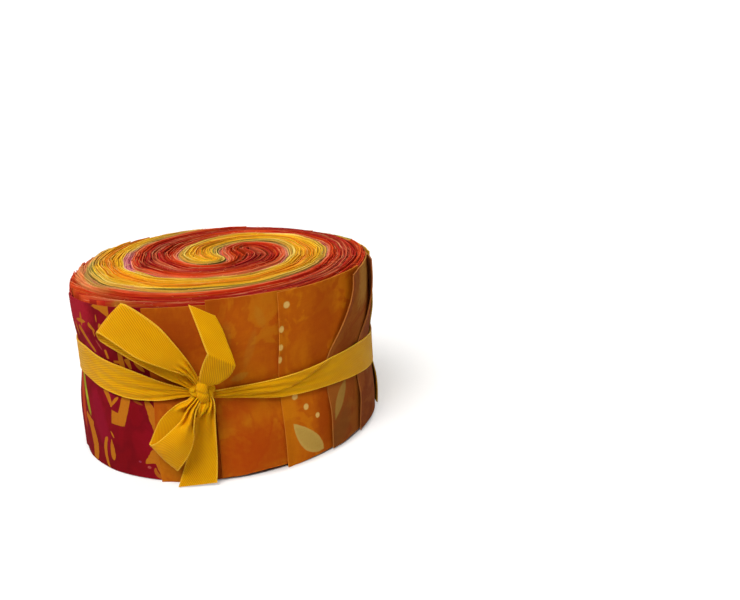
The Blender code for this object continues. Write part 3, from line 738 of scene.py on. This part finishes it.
def buildWoundStrips():
    material = woundMaterial()
    dyes = [(hexColour(first), hexColour(second)) for count, first, second in stackDyes for _ in range(count)]
    dice = np.random.default_rng(11)
    groups = [[] for _ in range(wound["pieces"])]
    lengths = [0.0] * wound["pieces"]
    wide = dice.uniform(size=wound["strips"]) < wound["wideShare"]
    spare = wound["stack"] - wound["strips"] * (wound["cloth"] + wound["closeGap"])
    pitches = wound["cloth"] + wound["closeGap"] + wide * spare / max(wide.sum(), 1)
    places = np.cumsum(pitches) - pitches / 2.0
    for strip, place in enumerate(places):
        uneven = wound["topUneven"] * dice.normal()
        group = strip * wound["pieces"] // wound["strips"]
        for path, room in stripRuns(place):
            parts, length = woundRun(strip, path, room, uneven, dyes[strip], dice)
            groups[group] += parts
            lengths[group] += length
    for group, parts in enumerate(groups):
        piece = pieceFrom(f"woundStrips{group + 1}", parts, material)
        if group == 0:
            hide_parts("wound_roll")


buildWoundStrips()


# The strip ends round the side: each free edge's azimuth, its top and foot and those of the far edge, and
# how many degrees it leans between two heights
endColumns = ("azimuth", "topFree", "topFar", "lean", "leanLow", "leanHigh", "curl", "slot",
              "footFree", "footFar")
endRows = (
    (-159.0, 60.9, 63.4, 0.0, 30.0, 60.0, -1.3, "batik_crimson", 0.25, 0.2),
    (-108.0, 63.2, 63.2, 0.0, 30.0, 60.0, 0.0, "batik_rust", 0.1, 0.5),
    (-86.4, 65.0, 63.8, 0.0, 30.0, 60.0, 0.0, "batik_orange", 1.0, 1.3),
    (-62.3, 63.9, 63.6, 1.3, 34.0, 62.0, 0.0, "batik_orange_leaf", 0.15, 0.9),
    (-41.5, 62.6, 63.4, 14.5, 30.0, 60.0, 1.6, "batik_amber_leaf", 0.6, 1.0),
    (-23.2, 62.9, 63.6, 16.0, 28.0, 58.0, 1.2, "batik_amber", 0.6, 0.9),
    (3.0, 63.3, 63.2, 0.0, 30.0, 60.0, 0.0, "batik_yellow", 0.7, 0.9),
    (26.5, 63.3, 63.1, -1.5, 5.0, 60.0, 0.0, "batik_olive", 0.5, 0.9),
    (50.5, 63.2, 63.0, 0.0, 30.0, 60.0, 0.0, "batik_peach", 0.8, 0.4),
    (71.0, 63.1, 62.9, 2.0, 5.0, 60.0, 0.0, "batik_honey", 0.3, 0.9),
    (92.5, 63.0, 62.8, 0.0, 30.0, 60.0, 0.0, "batik_orange", 0.9, 0.5),
    (114.0, 62.9, 62.7, -1.0, 5.0, 60.0, 0.0, "batik_magenta", 0.4, 1.0),
    (135.5, 62.6, 62.3, 0.0, 30.0, 60.0, 0.0, "batik_pink", 0.8, 0.4),
    (157.5, 62.3, 61.6, 1.5, 5.0, 60.0, 0.0, "batik_dotted", 0.3, 0.8),
    (179.5, 61.6, 61.0, 0.0, 30.0, 60.0, 0.0, "batik_red", 0.6, 0.5),
)
ends = {
    "cloth": 0.42, "sink": 0.72, "overlap": 4.0, "tuck": 9.0, "column": 1.3, "row": 2.4, "hem": 0.24,
    "curlStart": 38.0, "curlReach": 9.0, "puff": 0.24, "puffWave": 26.0, "lift": 0.5, "liftReach": 2.6,
    "footUneven": 0.18, "footWave": 24.0, "ragged": 0.09, "raggedWave": 3.0, "freeOfBand": (6.5, 15.0),
}


def freeEdge(strip, height):
    return strip["azimuth"] + strip["lean"] * smooth(strip["leanLow"], strip["leanHigh"], height)


def spaced(length, step, hem):
    # Even stations with one close to each end, so that the cut edge keeps its narrow line
    inner = np.linspace(hem, length - hem, max(3, int(length / step)))
    return np.concatenate([[0.0], inner, [length]])


def buildStripEnd(number, strip, following):
    perDegree = roll["radius"] * math.pi / 180.0
    heights = spaced(roll["height"], ends["row"], ends["hem"])
    left, right = freeEdge(strip, heights), freeEdge(following, heights)
    width = float(np.mean(right - left)) + ends["tuck"]
    stations = spaced(width * perDegree, ends["column"], ends["hem"]) / (width * perDegree)
    azimuth = left[:, None] + (right - left + ends["tuck"])[:, None] * stations[None, :]
    sink = smooth(0.0, 1.0, (azimuth - left[:, None] - ends["overlap"])
                  / (right - left - ends["overlap"])[:, None])
    top = strip["topFree"] + (strip["topFar"] - strip["topFree"]) * stations[None, :]
    share = heights[:, None] / roll["height"]
    foot = strip["footFree"] + (strip["footFar"] - strip["footFree"]) * stations
    foot = foot + ends["footUneven"] * ripple(stations * 40.0, 0.0 * stations, ends["footWave"], 60 + number)
    foot = np.maximum(foot, 0.1)[None, :]
    level = foot + (top - foot) * share
    away = azimuth - left[:, None]
    curl = strip["curl"] * smooth(ends["curlStart"], roll["height"], heights)[:, None]
    curl = curl * (1.0 - smooth(0.0, ends["curlReach"], away))
    lift = ends["lift"] * (1.0 - smooth(0.0, ends["liftReach"], away))
    free = smooth(*ends["freeOfBand"], np.abs(level - byAzimuth(tied["bandLevel"], azimuth)))
    puff = ends["puff"] * ripple(azimuth * perDegree, level, ends["puffWave"], 80 + number) + lift
    radius = rimRadius(azimuth) - ends["cloth"] - ends["sink"] * sink + curl + free * puff
    radius = radius + drawnIn(azimuth, level)
    ragged = ripple(azimuth * perDegree * 3.0, 0.0 * azimuth, ends["raggedWave"], 300 + number)
    points = polar(azimuth, radius, level + ends["ragged"] * ragged * (share > 0.99))
    cut = np.zeros(points.shape[:2])
    cut[[0, -1], :] = 1.0
    cut[:, 0] = 1.0
    part = gridPart(points, ends["cloth"], grid(away * perDegree, level), cut)
    piece = pieceFrom(f"stripEnd{number:02d}", [part], cottons[strip["slot"]])
    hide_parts(f"strip_end_{number:02d}")


strips = [dict(zip(endColumns, row)) for row in endRows]
for i, strip in enumerate(strips):
    following = dict(strips[(i + 1) % len(strips)])
    if i + 1 == len(strips):
        following["azimuth"] += 360.0
    buildStripEnd(i + 1, strip, following)
print("strip ends made:", len(strips))


# The ribbon
ribbon = {
    "width": 15.5, "cloth": 0.34, "selvedge": 0.46, "across": 33, "inset": 0.045, "loop": 0.85,
    "deep": "#CC8406", "golden": "#EBAC08", "bright": "#F6C23C", "drift": 0.35, "cutShare": 0.5,
    "sheenTint": "#F0B020", "sheen": 0.08, "roughness": 0.55, "bump": 0.3, "depth": 0.00016,
    "shine": 0.16, "shineTint": "#FFD060", "through": 0.3, "throughColours": (1.0, 0.42, 0.04),
    "throughDepth": 0.0012,
}


def ribbonMaterial():
    material, tree, shader, cloth, cut = startMaterial(
        "twill_ribbon", ribbon["sheenTint"], ribbon["roughness"], ribbon["sheen"])
    twill = useGroup(tree, ribbonTwill, Cloth=cloth, Width=ribbon["width"])
    golden, bright = ribbon["golden"], ribbon["bright"]
    # The rib valleys take the darker gold: painted shade in the twill's grooves
    colour = blend(tree, twill["Rib Mask"], hexColour(ribbon["deep"]), hexColour(golden))
    drift = spread(tree, noise(tree, cloth, 0.12, 3.0), 0.35, 0.7)
    colour = dyed(tree, drift, ribbon["drift"], colour, golden)
    along = add(tree, "ShaderNodeSeparateXYZ", {0: cloth}).outputs[1]
    loops = maths(tree, "SINE", times(tree, along, 2 * math.pi / ribbon["loop"]))
    colour = dyed(tree, twill["Selvedge"], timesPlus(tree, loops, 0.22, 0.55), colour, bright)
    colour = dyed(tree, spread(tree, cut, 0.4, 1.0), ribbon["cutShare"], colour, bright)
    finishMaterial(tree, shader, colour, twill["Height"], ribbon["bump"], ribbon["depth"])
    setInputs(shader, {
        "Specular IOR Level": ribbon["shine"], "Specular Tint": (*hexColour(ribbon["shineTint"]), 1.0),
        "Subsurface Weight": ribbon["through"], "Subsurface Radius": ribbon["throughColours"],
        "Subsurface Scale": ribbon["throughDepth"]})
    return material


gold = ribbonMaterial()


def acrossStations():
    inner = np.linspace(ribbon["inset"], 1.0 - ribbon["inset"], ribbon["across"] - 2)
    return np.concatenate([[0.0], inner, [1.0]])


def ribbonThickness(shape):
    thickness = np.full(shape, ribbon["cloth"])
    thickness[:, [0, 1, -2, -1]] = ribbon["selvedge"]
    thickness[:, [0, -1]] = ribbon["cloth"]
    return thickness


# Round the roll: degrees from the front, then the band's middle and width, and how deep its gathers are
bandRows = (
    (1.0, 33.1, 2.6, 0.30), (3.4, 32.6, 2.7, 0.40), (6.5, 32.2, 3.2, 0.50), (12.5, 31.7, 4.3, 0.45),
    (26.0, 30.1, 7.1, 0.30), (38.0, 29.8, 8.7, 0.20), (47.0, 29.9, 9.7, 0.12), (56.0, 29.8, 10.7, 0.08),
    (66.0, 29.4, 11.8, 0.05), (76.0, 28.5, 12.3, 0.0), (90.0, 27.2, 12.6, 0.0), (105.0, 27.4, 13.4, 0.0),
    (130.0, 29.7, 15.0, 0.0), (180.0, 34.6, 15.5, 0.0), (225.0, 37.6, 15.0, 0.0),
    (270.0, 36.8, 12.6, 0.0), (281.0, 36.4, 11.6, 0.02), (290.0, 36.8, 11.2, 0.04), (299.0, 38.2, 11.5, 0.08),
    (309.3, 38.9, 11.8, 0.12), (321.0, 37.1, 11.6, 0.20), (333.0, 35.6, 11.4, 0.30), (343.5, 34.5, 8.3, 0.45),
    (349.6, 33.8, 5.0, 0.50), (354.9, 33.7, 2.7, 0.40), (358.0, 33.7, 2.4, 0.30),
)
# The fold on the right: how far across the ribbon its line lies, 1 at the top edge
foldLine = ((0.0, -0.6), (16.0, -0.55), (27.0, -0.24), (32.0, -0.14), (38.5, 0.27), (42.0, 0.48),
            (45.0, 0.69), (50.0, 0.95), (54.0, 1.3))
band = {
    "off": 0.42, "step": 1.2, "gathers": 3.0, "gatherDrift": 0.25, "foldOver": 0.7, "leftShare": 0.4,
    "rightFrom": (2.0, 6.0), "rightTo": (44.0, 54.0), "leftFrom": (318.0, 345.0), "leftTo": (352.0, 357.0),
    "knotOff": 1.6, "knotReach": 9.0,
}


def buildBand():
    turns, *measures = zip(*bandRows)
    along = np.arange(turns[0], turns[-1], math.degrees(band["step"] / roll["radius"]))
    middle, width, fold = (np.interp(along, turns, measure) for measure in measures)
    for line in (middle, width, fold):
        line[3:-3] = np.convolve(line, np.ones(7) / 7.0, "valid")
    stations = acrossStations()
    share = 1.0 - 2.0 * stations[None, :]
    azimuth = roll["front"] + along[:, None] + 0.0 * share
    place = share + band["gatherDrift"] * np.sin(azimuth * 0.11)
    gathers = fold[:, None] * (0.5 - 0.5 * np.cos(band["gathers"] * np.pi * place))
    # On the right the upper half is folded down over the lower one, along a line that climbs
    rightWay = (smooth(*band["rightFrom"], along) * (1.0 - smooth(*band["rightTo"], along)))[:, None]
    line = np.interp(along, *zip(*foldLine))[:, None]
    over = band["foldOver"] * rightWay * smooth(-0.03, 0.04, share - line)
    leftWay = (smooth(*band["leftFrom"], along) * (1.0 - smooth(*band["leftTo"], along)))[:, None]
    lineLeft = 0.35 - 0.5 * smooth(325.0, 350.0, along)[:, None]
    overLeft = band["leftShare"] * band["foldOver"] * leftWay * smooth(-0.05, 0.08, share - lineLeft)
    off = band["off"] + gathers + over + overLeft
    nearKnot = np.minimum(along, 360.0 - along)
    off = off + band["knotOff"] * (1.0 - smooth(0.0, band["knotReach"], nearKnot))[:, None]
    level = middle[:, None] + share * width[:, None] / 2.0
    points = polar(azimuth, rimRadius(azimuth) + drawnIn(azimuth, middle[:, None] + 0.0 * share) + off, level)
    distance = (along - along[0]) * roll["radius"] * math.pi / 180.0
    uv = grid(stations[None, :] * ribbon["width"], distance[:, None])
    part = gridPart(points, ribbonThickness(points.shape[:2]), uv, 0.0)
    piece = pieceFrom("ribbonBand", [part], gold)
    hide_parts("ribbon_band")


buildBand()

# The free parts of the ribbon, out from the knot. Each row is one cross-section: the ribbon's two
# edges as along, up and off, then cup, how far the middle bulges
freeRows = {
    "bow_loop_upper": (
        (0.3, 37.4, 3.6, -1.0, 36.6, 3.6, 0.2), (-0.2, 39.9, 5.0, -1.6, 39.7, 5.0, 0.4),
        (-1.0, 43.2, 5.8, -3.4, 42.2, 5.6, 0.6), (-3.0, 48.6, 7.2, -6.4, 43.8, 7.2, 0.6),
        (-5.4, 53.8, 8.2, -10.6, 46.0, 8.0, 0.5), (-9.0, 59.6, 8.4, -16.6, 49.0, 8.4, 0.4),
        (-14.0, 64.2, 8.0, -22.2, 53.0, 8.2, 0.3), (-18.0, 66.5, 7.3, -27.4, 55.9, 7.8, 0.3),
        (-20.2, 66.7, 6.3, -30.2, 55.7, 6.6, 0.4), (-21.5, 65.3, 4.6, -32.0, 53.4, 4.8, 0.4),
        (-20.6, 63.6, 3.2, -31.9, 51.2, 3.3, 0.2), (-16.4, 60.0, 2.4, -25.6, 47.8, 2.6, 0.0),
        (-11.1, 53.4, 2.4, -18.4, 43.9, 2.6, 0.0), (-6.2, 46.3, 2.8, -12.2, 40.5, 2.8, 0.0),
        (-3.4, 41.6, 3.2, -7.2, 37.9, 3.0, 0.0), (-1.6, 37.6, 2.6, -3.6, 35.9, 2.6, 0.0),
    ),
    "bow_loop_lower": (
        (-0.6, 34.0, 3.4, 0.2, 33.4, 3.4, 0.2), (-2.6, 31.4, 4.9, -0.9, 30.6, 5.2, 0.3),
        (-4.2, 29.8, 6.2, -1.9, 28.6, 6.4, 0.6), (-5.9, 26.8, 7.8, -2.4, 24.6, 8.0, 1.3),
        (-8.7, 23.8, 8.4, -2.8, 20.0, 8.5, 1.7), (-12.4, 20.1, 8.0, -4.6, 14.6, 8.0, 1.5),
        (-15.8, 17.4, 6.5, -8.2, 8.9, 6.5, 0.8), (-17.8, 16.6, 4.6, -9.9, 7.0, 4.6, 0.3),
        (-17.9, 17.4, 3.2, -10.3, 8.2, 3.0, 0.0), (-16.4, 21.0, 2.5, -8.6, 13.4, 2.5, -0.3),
        (-14.4, 24.6, 2.6, -7.0, 18.2, 2.5, -0.3), (-11.3, 28.0, 2.8, -5.6, 22.8, 2.7, -0.2),
        (-7.9, 30.4, 3.2, -4.4, 27.0, 3.2, 0.0), (-5.0, 31.6, 3.5, -3.1, 29.3, 3.5, 0.0),
        (-2.2, 33.8, 2.6, -1.4, 33.0, 2.6, 0.0),
    ),
    "ribbon_tail_upper": (
        (0.2, 36.4, 4.6, 1.6, 35.8, 4.2, 0.2), (0.1, 39.2, 6.0, 2.9, 37.2, 5.2, 0.2),
        (0.5, 42.0, 7.2, 5.8, 37.9, 6.0, 0.1), (1.6, 45.4, 8.4, 9.0, 40.4, 7.2, 0.0),
        (3.2, 49.2, 9.6, 10.7, 43.6, 8.7, 0.0), (3.6, 50.0, 9.7, 11.0, 44.7, 8.9, 0.0),
        (3.2, 51.2, 9.3, 10.8, 46.2, 8.5, 0.0), (1.8, 56.4, 7.6, 9.4, 52.1, 6.6, 0.1),
        (0.5, 60.6, 6.0, 8.2, 56.6, 5.4, 0.2), (-1.0, 65.4, 4.4, 6.6, 60.6, 4.2, 0.2),
    ),
    "ribbon_tail_lower": (
        (1.0, 34.0, 3.2, 2.2, 34.4, 3.0, 0.0), (1.5, 30.6, 4.4, 3.3, 31.9, 3.8, 0.1),
        (-0.7, 28.0, 4.9, 3.6, 29.4, 4.3, 0.1), (-2.7, 25.9, 4.6, 3.5, 26.8, 4.3, 0.1),
        (-3.6, 22.0, 4.0, 3.3, 22.6, 3.9, 0.1), (-4.5, 18.0, 3.4, 3.1, 17.6, 3.3, 0.1),
        (-6.3, 12.4, 3.2, 2.8, 10.9, 3.2, 0.1), (-8.2, 7.0, 3.3, 2.4, 5.8, 3.4, 0.1),
        (-10.5, 0.35, 3.7, 1.9, 1.2, 3.7, 0.1),
    ),
}
# Their names, then their gathers: how many, the share of the width kept, and the chords where they fade
freeParts = {
    "bow_loop_upper": ("bowLoopUpper", 3, 0.72, 3.6, 7.5),
    "bow_loop_lower": ("bowLoopLower", 2, 0.72, 3.4, 7.5),
    "ribbon_tail_upper": ("ribbonTailUpper", 3, 0.78, 4.2, 8.5),
    "ribbon_tail_lower": ("ribbonTailLower", 2, 0.86, 4.5, 9.0),
}
gathersStart = 0.5
turned = {"parts": ("ribbon_tail_upper",), "gap": 0.34, "most": 0.88, "width": 0.94, "least": 0.2}


def turnedUnder(chord, stations):
    # A cross-section whose far edge is turned under: how far across and how far behind each point is
    ring = turned["gap"]
    back = min(turned["most"] * chord, max(turned["width"] * ribbon["width"] - chord, turned["least"]))
    angles = np.linspace(0.0, np.pi, 7)
    across = np.concatenate([[0.0], chord - ring + ring * np.sin(angles), [chord - ring - back]])
    behind = np.concatenate([[0.0], ring - ring * np.cos(angles), [2.0 * ring]])
    length = np.concatenate([[0.0], np.cumsum(np.hypot(np.diff(across), np.diff(behind)))])
    wanted = stations * length[-1]
    return np.interp(wanted, length, across) / chord, np.interp(wanted, length, behind)


def buildFreePart(node, name, count, keeps, fadeFrom, fadeTo):
    table = curveThrough(freeRows[node], 6)
    edgeA, edgeB = onRoll(*table[:, 0:3].T), onRoll(*table[:, 3:6].T)
    cup = table[:, 6]
    stations = acrossStations()[None, :]
    chord = np.linalg.norm(edgeB - edgeA, axis=1)
    across, behind = np.repeat(stations, len(chord), axis=0), 0.0
    if node in turned["parts"]:
        pairs = [turnedUnder(width, stations[0]) for width in chord]
        across, behind = (np.array(part) for part in zip(*pairs))
    points = edgeA[:, None, :] * (1.0 - across[..., None]) + edgeB[:, None, :] * across[..., None]
    along = np.gradient((edgeA + edgeB) / 2.0, axis=0)
    face = np.cross(edgeB - edgeA, along)
    face /= np.linalg.norm(face, axis=1, keepdims=True)
    outward = (edgeA + edgeB) * np.array([1.0, 1.0, 0.0])
    face *= np.sign((face[0] * outward[0]).sum())
    # The ribbon keeps its width, so what the cross-section lacks goes into gathers
    spare = np.sqrt(np.maximum((keeps * ribbon["width"]) ** 2 - chord ** 2, 0.0))
    depth = spare / (4.0 * count) * (1.0 - smooth(fadeFrom, fadeTo, chord))
    wave = cup[:, None] * np.sin(np.pi * across)
    if node not in turned["parts"]:
        turns = 2.0 * np.pi * count * (across + 0.06 * np.sin(7.0 * across))
        wave = wave + depth[:, None] * np.sin(turns + gathersStart)
    wave = wave - behind
    points = points + face[:, None, :] * wave[..., None]
    distance = lengthAlong((edgeA + edgeB) / 2.0)
    uv = grid(stations * ribbon["width"], distance[:, None])
    cut = np.zeros(points.shape[:2])
    if "tail" in node:
        cut[-1, :] = 1.0
    part = gridPart(points, ribbonThickness(points.shape[:2]), uv, cut)
    piece = pieceFrom(name, [part], gold, 60.0)
    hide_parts(node)
    return piece, distance[-1]


for node, (name, *gathers) in freeParts.items():
    piece, length = buildFreePart(node, name, *gathers)
    half = sum(face.area for face in piece.data.polygons) / 2.0 / mm / mm
    print(name, "length in mm", round(length, 1), "cloth share", round(half / length / ribbon["width"], 2))


# The knot: crumpled folds on both sides, the turn of ribbon over them, and a fan of folds below
knot = {
    "along": 0.6, "up": 35.5, "off": 3.3, "turnWidth": 3.4, "turnUp": 4.7, "turnOut": 3.5, "narrowing": 0.20,
    "sag": 0.75, "edgeSag": 0.35, "ridge": 0.07, "crease": 0.5, "creaseWide": 0.11, "creaseSlant": 0.12,
    "folds": 3, "foldDepth": 0.36, "fanBulge": 0.5, "length": 21.0,
}
lumpColumns = ("along", "up", "out", "halfAlong", "halfUp", "halfOut", "creases", "depth", "turn")
lumpRows = (
    (-0.4, -0.3, -0.6, 3.3, 2.6, 2.4, 7, 0.10, 0.0),
    (-2.9, 0.3, 0.2, 1.9, 1.25, 1.5, 3, 0.14, 24.0),
    (-2.7, -1.3, 0.3, 1.7, 1.15, 1.4, 4, 0.16, -18.0),
    (2.1, -1.2, 0.1, 0.95, 2.3, 1.4, 4, 0.16, 12.0),
    (2.7, -0.2, -0.5, 1.1, 1.4, 1.1, 3, 0.12, -20.0),
)
fanRows = (
    (-2.2, 32.4, 3.4, 2.9, 32.5, 3.4),
    (-2.6, 31.2, 4.6, 2.9, 31.7, 4.6),
    (-2.4, 29.8, 5.3, 2.2, 30.4, 5.4),
    (-2.1, 28.4, 5.5, 1.2, 29.0, 5.6),
    (-1.8, 27.0, 5.1, 0.1, 27.5, 5.1),
    (-1.6, 25.6, 3.8, -0.8, 25.9, 3.8),
)


def placed(axes, x, y, z):
    middle, side, up, out = axes
    return middle + x[..., None] * side + y[..., None] * up + z[..., None] * out


def buildLump(axes, lump, seed):
    tilts = np.linspace(0.03, np.pi - 0.03, 25)[:, None]
    spins = np.linspace(-np.pi * 0.98, np.pi * 0.98, 37)[None, :]
    crease = 1.0 - lump["depth"] * np.abs(np.sin(spins * lump["creases"] / 2.0 + 1.5 * tilts + seed))
    turn = math.radians(lump["turn"])
    x = lump["halfAlong"] * np.cos(tilts) * (0.96 + 0.04 * crease)
    y = lump["halfUp"] * np.sin(tilts) * np.sin(spins) * crease
    z = lump["out"] + lump["halfOut"] * np.sin(tilts) * np.cos(spins) * crease
    x, y = x * math.cos(turn) - y * math.sin(turn), x * math.sin(turn) + y * math.cos(turn)
    points = placed(axes, x + lump["along"], y + lump["up"], z)
    return gridPart(points[:, ::-1], 0.2, grid(7.0 + 2.0 * np.cos(tilts) + 0.0 * spins, spins * 2.5), 0.0)


def buildTurn(axes):
    # From above, down over the front, and under; narrow at both ends, with one crease across
    bends = np.linspace(-2.0, 2.0, 41)[:, None]
    stations = acrossStations()[None, :]
    share = 2.0 * stations - 1.0
    half = knot["turnWidth"] / 2.0 * (1.0 - knot["narrowing"] * smooth(0.5, 1.7, np.abs(bends)))
    sag = knot["sag"] * share ** 2 + knot["edgeSag"] * share ** 8
    ridges = knot["ridge"] * np.cos(share * 5.0 + 0.6) * smooth(0.1, 1.0, np.abs(bends))
    fromCrease = (bends - 0.05 - knot["creaseSlant"] * share) / knot["creaseWide"]
    crease = knot["crease"] * np.exp(-(fromCrease ** 2))
    x = share * half + 0.2 * np.sin(bends)
    y = (knot["turnUp"] - 0.5 * sag) * -np.sin(bends)
    z = (knot["turnOut"] - sag + ridges - crease) * np.cos(bends * 0.92)
    return gridPart(placed(axes, x, y, z)[:, ::-1], 0.4, grid(1.0 + stations * 6.0, bends * 4.0), 0.0)


def buildFan():
    table = curveThrough(fanRows, 8)
    edgeA, edgeB = onRoll(*table[:, 0:3].T), onRoll(*table[:, 3:6].T)
    stations = acrossStations()[None, :]
    points = edgeA[:, None, :] * (1.0 - stations[..., None]) + edgeB[:, None, :] * stations[..., None]
    out = (edgeA + edgeB) * np.array([1.0, 1.0, 0.0])
    out /= np.linalg.norm(out, axis=1, keepdims=True)
    opened = smooth(0.3, 4.0, np.linalg.norm(edgeB - edgeA, axis=1)[:, None])
    wave = np.sin(2.0 * np.pi * knot["folds"] * stations + 0.8) * knot["foldDepth"] * opened
    wave = wave + knot["fanBulge"] * np.sin(np.pi * stations) * opened
    points = points + out[:, None, :] * wave[..., None]
    return gridPart(points, 0.3, grid(1.0 + 12.0 * stations, 0.4 * np.arange(len(table))[:, None]), 0.0)


def buildKnot():
    middle = onRoll(knot["along"], knot["up"], knot["off"])
    out = middle * np.array([1.0, 1.0, 0.0])
    out = out / np.linalg.norm(out)
    up = np.array([0.0, 0.0, 1.0])
    axes = (middle, np.cross(up, out), up, out)
    parts = [buildLump(axes, dict(zip(lumpColumns, row)), i) for i, row in enumerate(lumpRows)]
    parts += [buildTurn(axes), buildFan()]
    piece = pieceFrom("ribbonKnot", parts, gold, 60.0)
    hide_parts("ribbon_knot")
    area = sum(face.area for face in piece.data.polygons) / 2.0 / mm / mm
    print("ribbonKnot half surface in mm2", round(area), "flat", round(ribbon["width"] * knot["length"]))


buildKnot()
print("ribbon made")


# Surroundings: floor and wall in metres, angles in degrees, the camera's place in mm and its lens in pixels
studio = {
    "floor": 3.2, "sweep": 1.0, "wall": 2.6, "floorColour": (0.62, 0.62, 0.62), "floorGlow": 0.42,
    "glowColour": (1.0, 0.995, 0.985, 1.0), "shadowRingReach": (53.5, 58.0), "bounceColour": (0.56, 0.55, 0.54),
    "world": 0.44, "worldColour": (1.0, 0.99, 0.975), "worldDark": 0.10, "worldRise": 0.6,
    "keyAzimuth": -114.0, "keyHeight": 56.0, "keyPower": 3.0, "keySoft": 34.0,
    "keyColour": (1.0, 0.985, 0.96), "cameraPlace": (57.168, -366.471, 159.934), "cameraDown": 17.459,
    "cameraRoll": 3.009, "focal": 1000.0, "frameWide": 740.0, "sensor": 36.0,
}


def floorMesh():
    # A round floor that sweeps up into a pale wall all round, so it has no edge in any view
    floor, sweep = studio["floor"], studio["sweep"]
    bends = np.radians(np.linspace(0.0, 90.0, 13))
    profile = [(floor - sweep, 0.0)]
    profile += [(floor - sweep * (1.0 - math.sin(b)), sweep * (1.0 - math.cos(b))) for b in bends[1:]]
    profile.append((floor, studio["wall"]))
    turns = np.radians(np.arange(0.0, 360.0, 5.0))
    points = [(reach * math.cos(t), reach * math.sin(t), rise) for reach, rise in profile for t in turns]
    points.append((0.0, 0.0, 0.0))
    count = len(turns)
    pairs = [(i, (i + 1) % count) for i in range(count)]
    faces = [(len(points) - 1, i, j) for i, j in pairs]
    for ring in range(0, (len(profile) - 1) * count, count):
        faces += [(ring + i, ring + count + i, ring + count + j, ring + j) for i, j in pairs]
    mesh = bpy.data.meshes.new("floor")
    mesh.from_pydata(points, [], faces)
    mesh.shade_smooth()
    return mesh


def buildFloor():
    floor = bpy.data.objects.new("floor", floorMesh())
    scene.collection.objects.link(floor)
    material = bpy.data.materials.new("paleFloor")
    material.use_nodes = True
    tree = material.node_tree
    shader = tree.nodes["Principled BSDF"]
    setInputs(shader, {"Emission Color": studio["glowColour"], "Roughness": 0.95, "Specular IOR Level": 0.0})
    seen = add(tree, "ShaderNodeLightPath").outputs["Is Camera Ray"]
    colour = blend(tree, seen, studio["bounceColour"], studio["floorColour"])
    tree.links.new(colour, shader.inputs["Base Color"])
    # No glow under the roll, where the floor is in the dark, and less glow just round its foot: a painted
    # contact shadow on the floor
    place = add(tree, "ShaderNodeNewGeometry").outputs["Position"]
    reach = add(tree, "ShaderNodeVectorMath", {0: place}, operation="LENGTH").outputs["Value"]
    near, far = studio["shadowRingReach"]
    glow = times(tree, times(tree, seen, spread(tree, reach, near * mm, far * mm)), studio["floorGlow"])
    tree.links.new(glow, shader.inputs["Emission Strength"])
    floor.data.materials.append(material)


def buildWorld():
    world = bpy.data.worlds.new("studio")
    scene.world = world
    world.use_nodes = True
    tree = world.node_tree
    aim = add(tree, "ShaderNodeTexCoord").outputs["Generated"]
    turn = math.radians(studio["keyAzimuth"])
    toKey = (math.cos(turn) * 0.8, math.sin(turn) * 0.8, studio["worldRise"])
    side = add(tree, "ShaderNodeVectorMath", {0: aim, 1: toKey}, operation="DOT_PRODUCT")
    strength = add(tree, "ShaderNodeMapRange", {
        "Value": side.outputs["Value"], "From Min": -0.7, "From Max": 0.7, "To Min": studio["worldDark"],
        "To Max": studio["world"]}, interpolation_type="SMOOTHSTEP")
    sky = tree.nodes["Background"]
    sky.inputs["Color"].default_value = (*studio["worldColour"], 1.0)
    tree.links.new(strength.outputs[0], sky.inputs["Strength"])


def buildKey():
    data = bpy.data.lights.new("key", "SUN")
    data.energy = studio["keyPower"]
    data.angle = math.radians(studio["keySoft"])
    data.color = studio["keyColour"]
    key = bpy.data.objects.new("key", data)
    turn, rise = math.radians(studio["keyAzimuth"]), math.radians(studio["keyHeight"])
    toward = Vector((math.cos(rise) * math.cos(turn), math.cos(rise) * math.sin(turn), math.sin(rise)))
    key.rotation_euler = (-toward).to_track_quat("-Z", "Y").to_euler()
    scene.collection.objects.link(key)


def buildCamera():
    data = bpy.data.cameras.new("camera")
    data.sensor_width = studio["sensor"]
    data.lens = studio["focal"] / studio["frameWide"] * data.sensor_width
    data.clip_start = 0.01
    camera = bpy.data.objects.new("camera", data)
    down, turn = math.radians(studio["cameraDown"]), math.radians(studio["cameraRoll"])
    right = Vector((1.0, 0.0, 0.0))
    up = Vector((0.0, math.sin(down), math.cos(down)))
    ahead = Vector((0.0, math.cos(down), -math.sin(down)))
    tiltedRight = right * math.cos(turn) - up * math.sin(turn)
    tiltedUp = right * math.sin(turn) + up * math.cos(turn)
    facing = Matrix((tiltedRight, tiltedUp, -ahead)).transposed().to_4x4()
    camera.matrix_world = Matrix.Translation(Vector(studio["cameraPlace"]) * mm) @ facing
    scene.collection.objects.link(camera)
    scene.camera = camera


buildFloor()
buildWorld()
buildKey()
buildCamera()
print("studio made")

print("all pieces made")
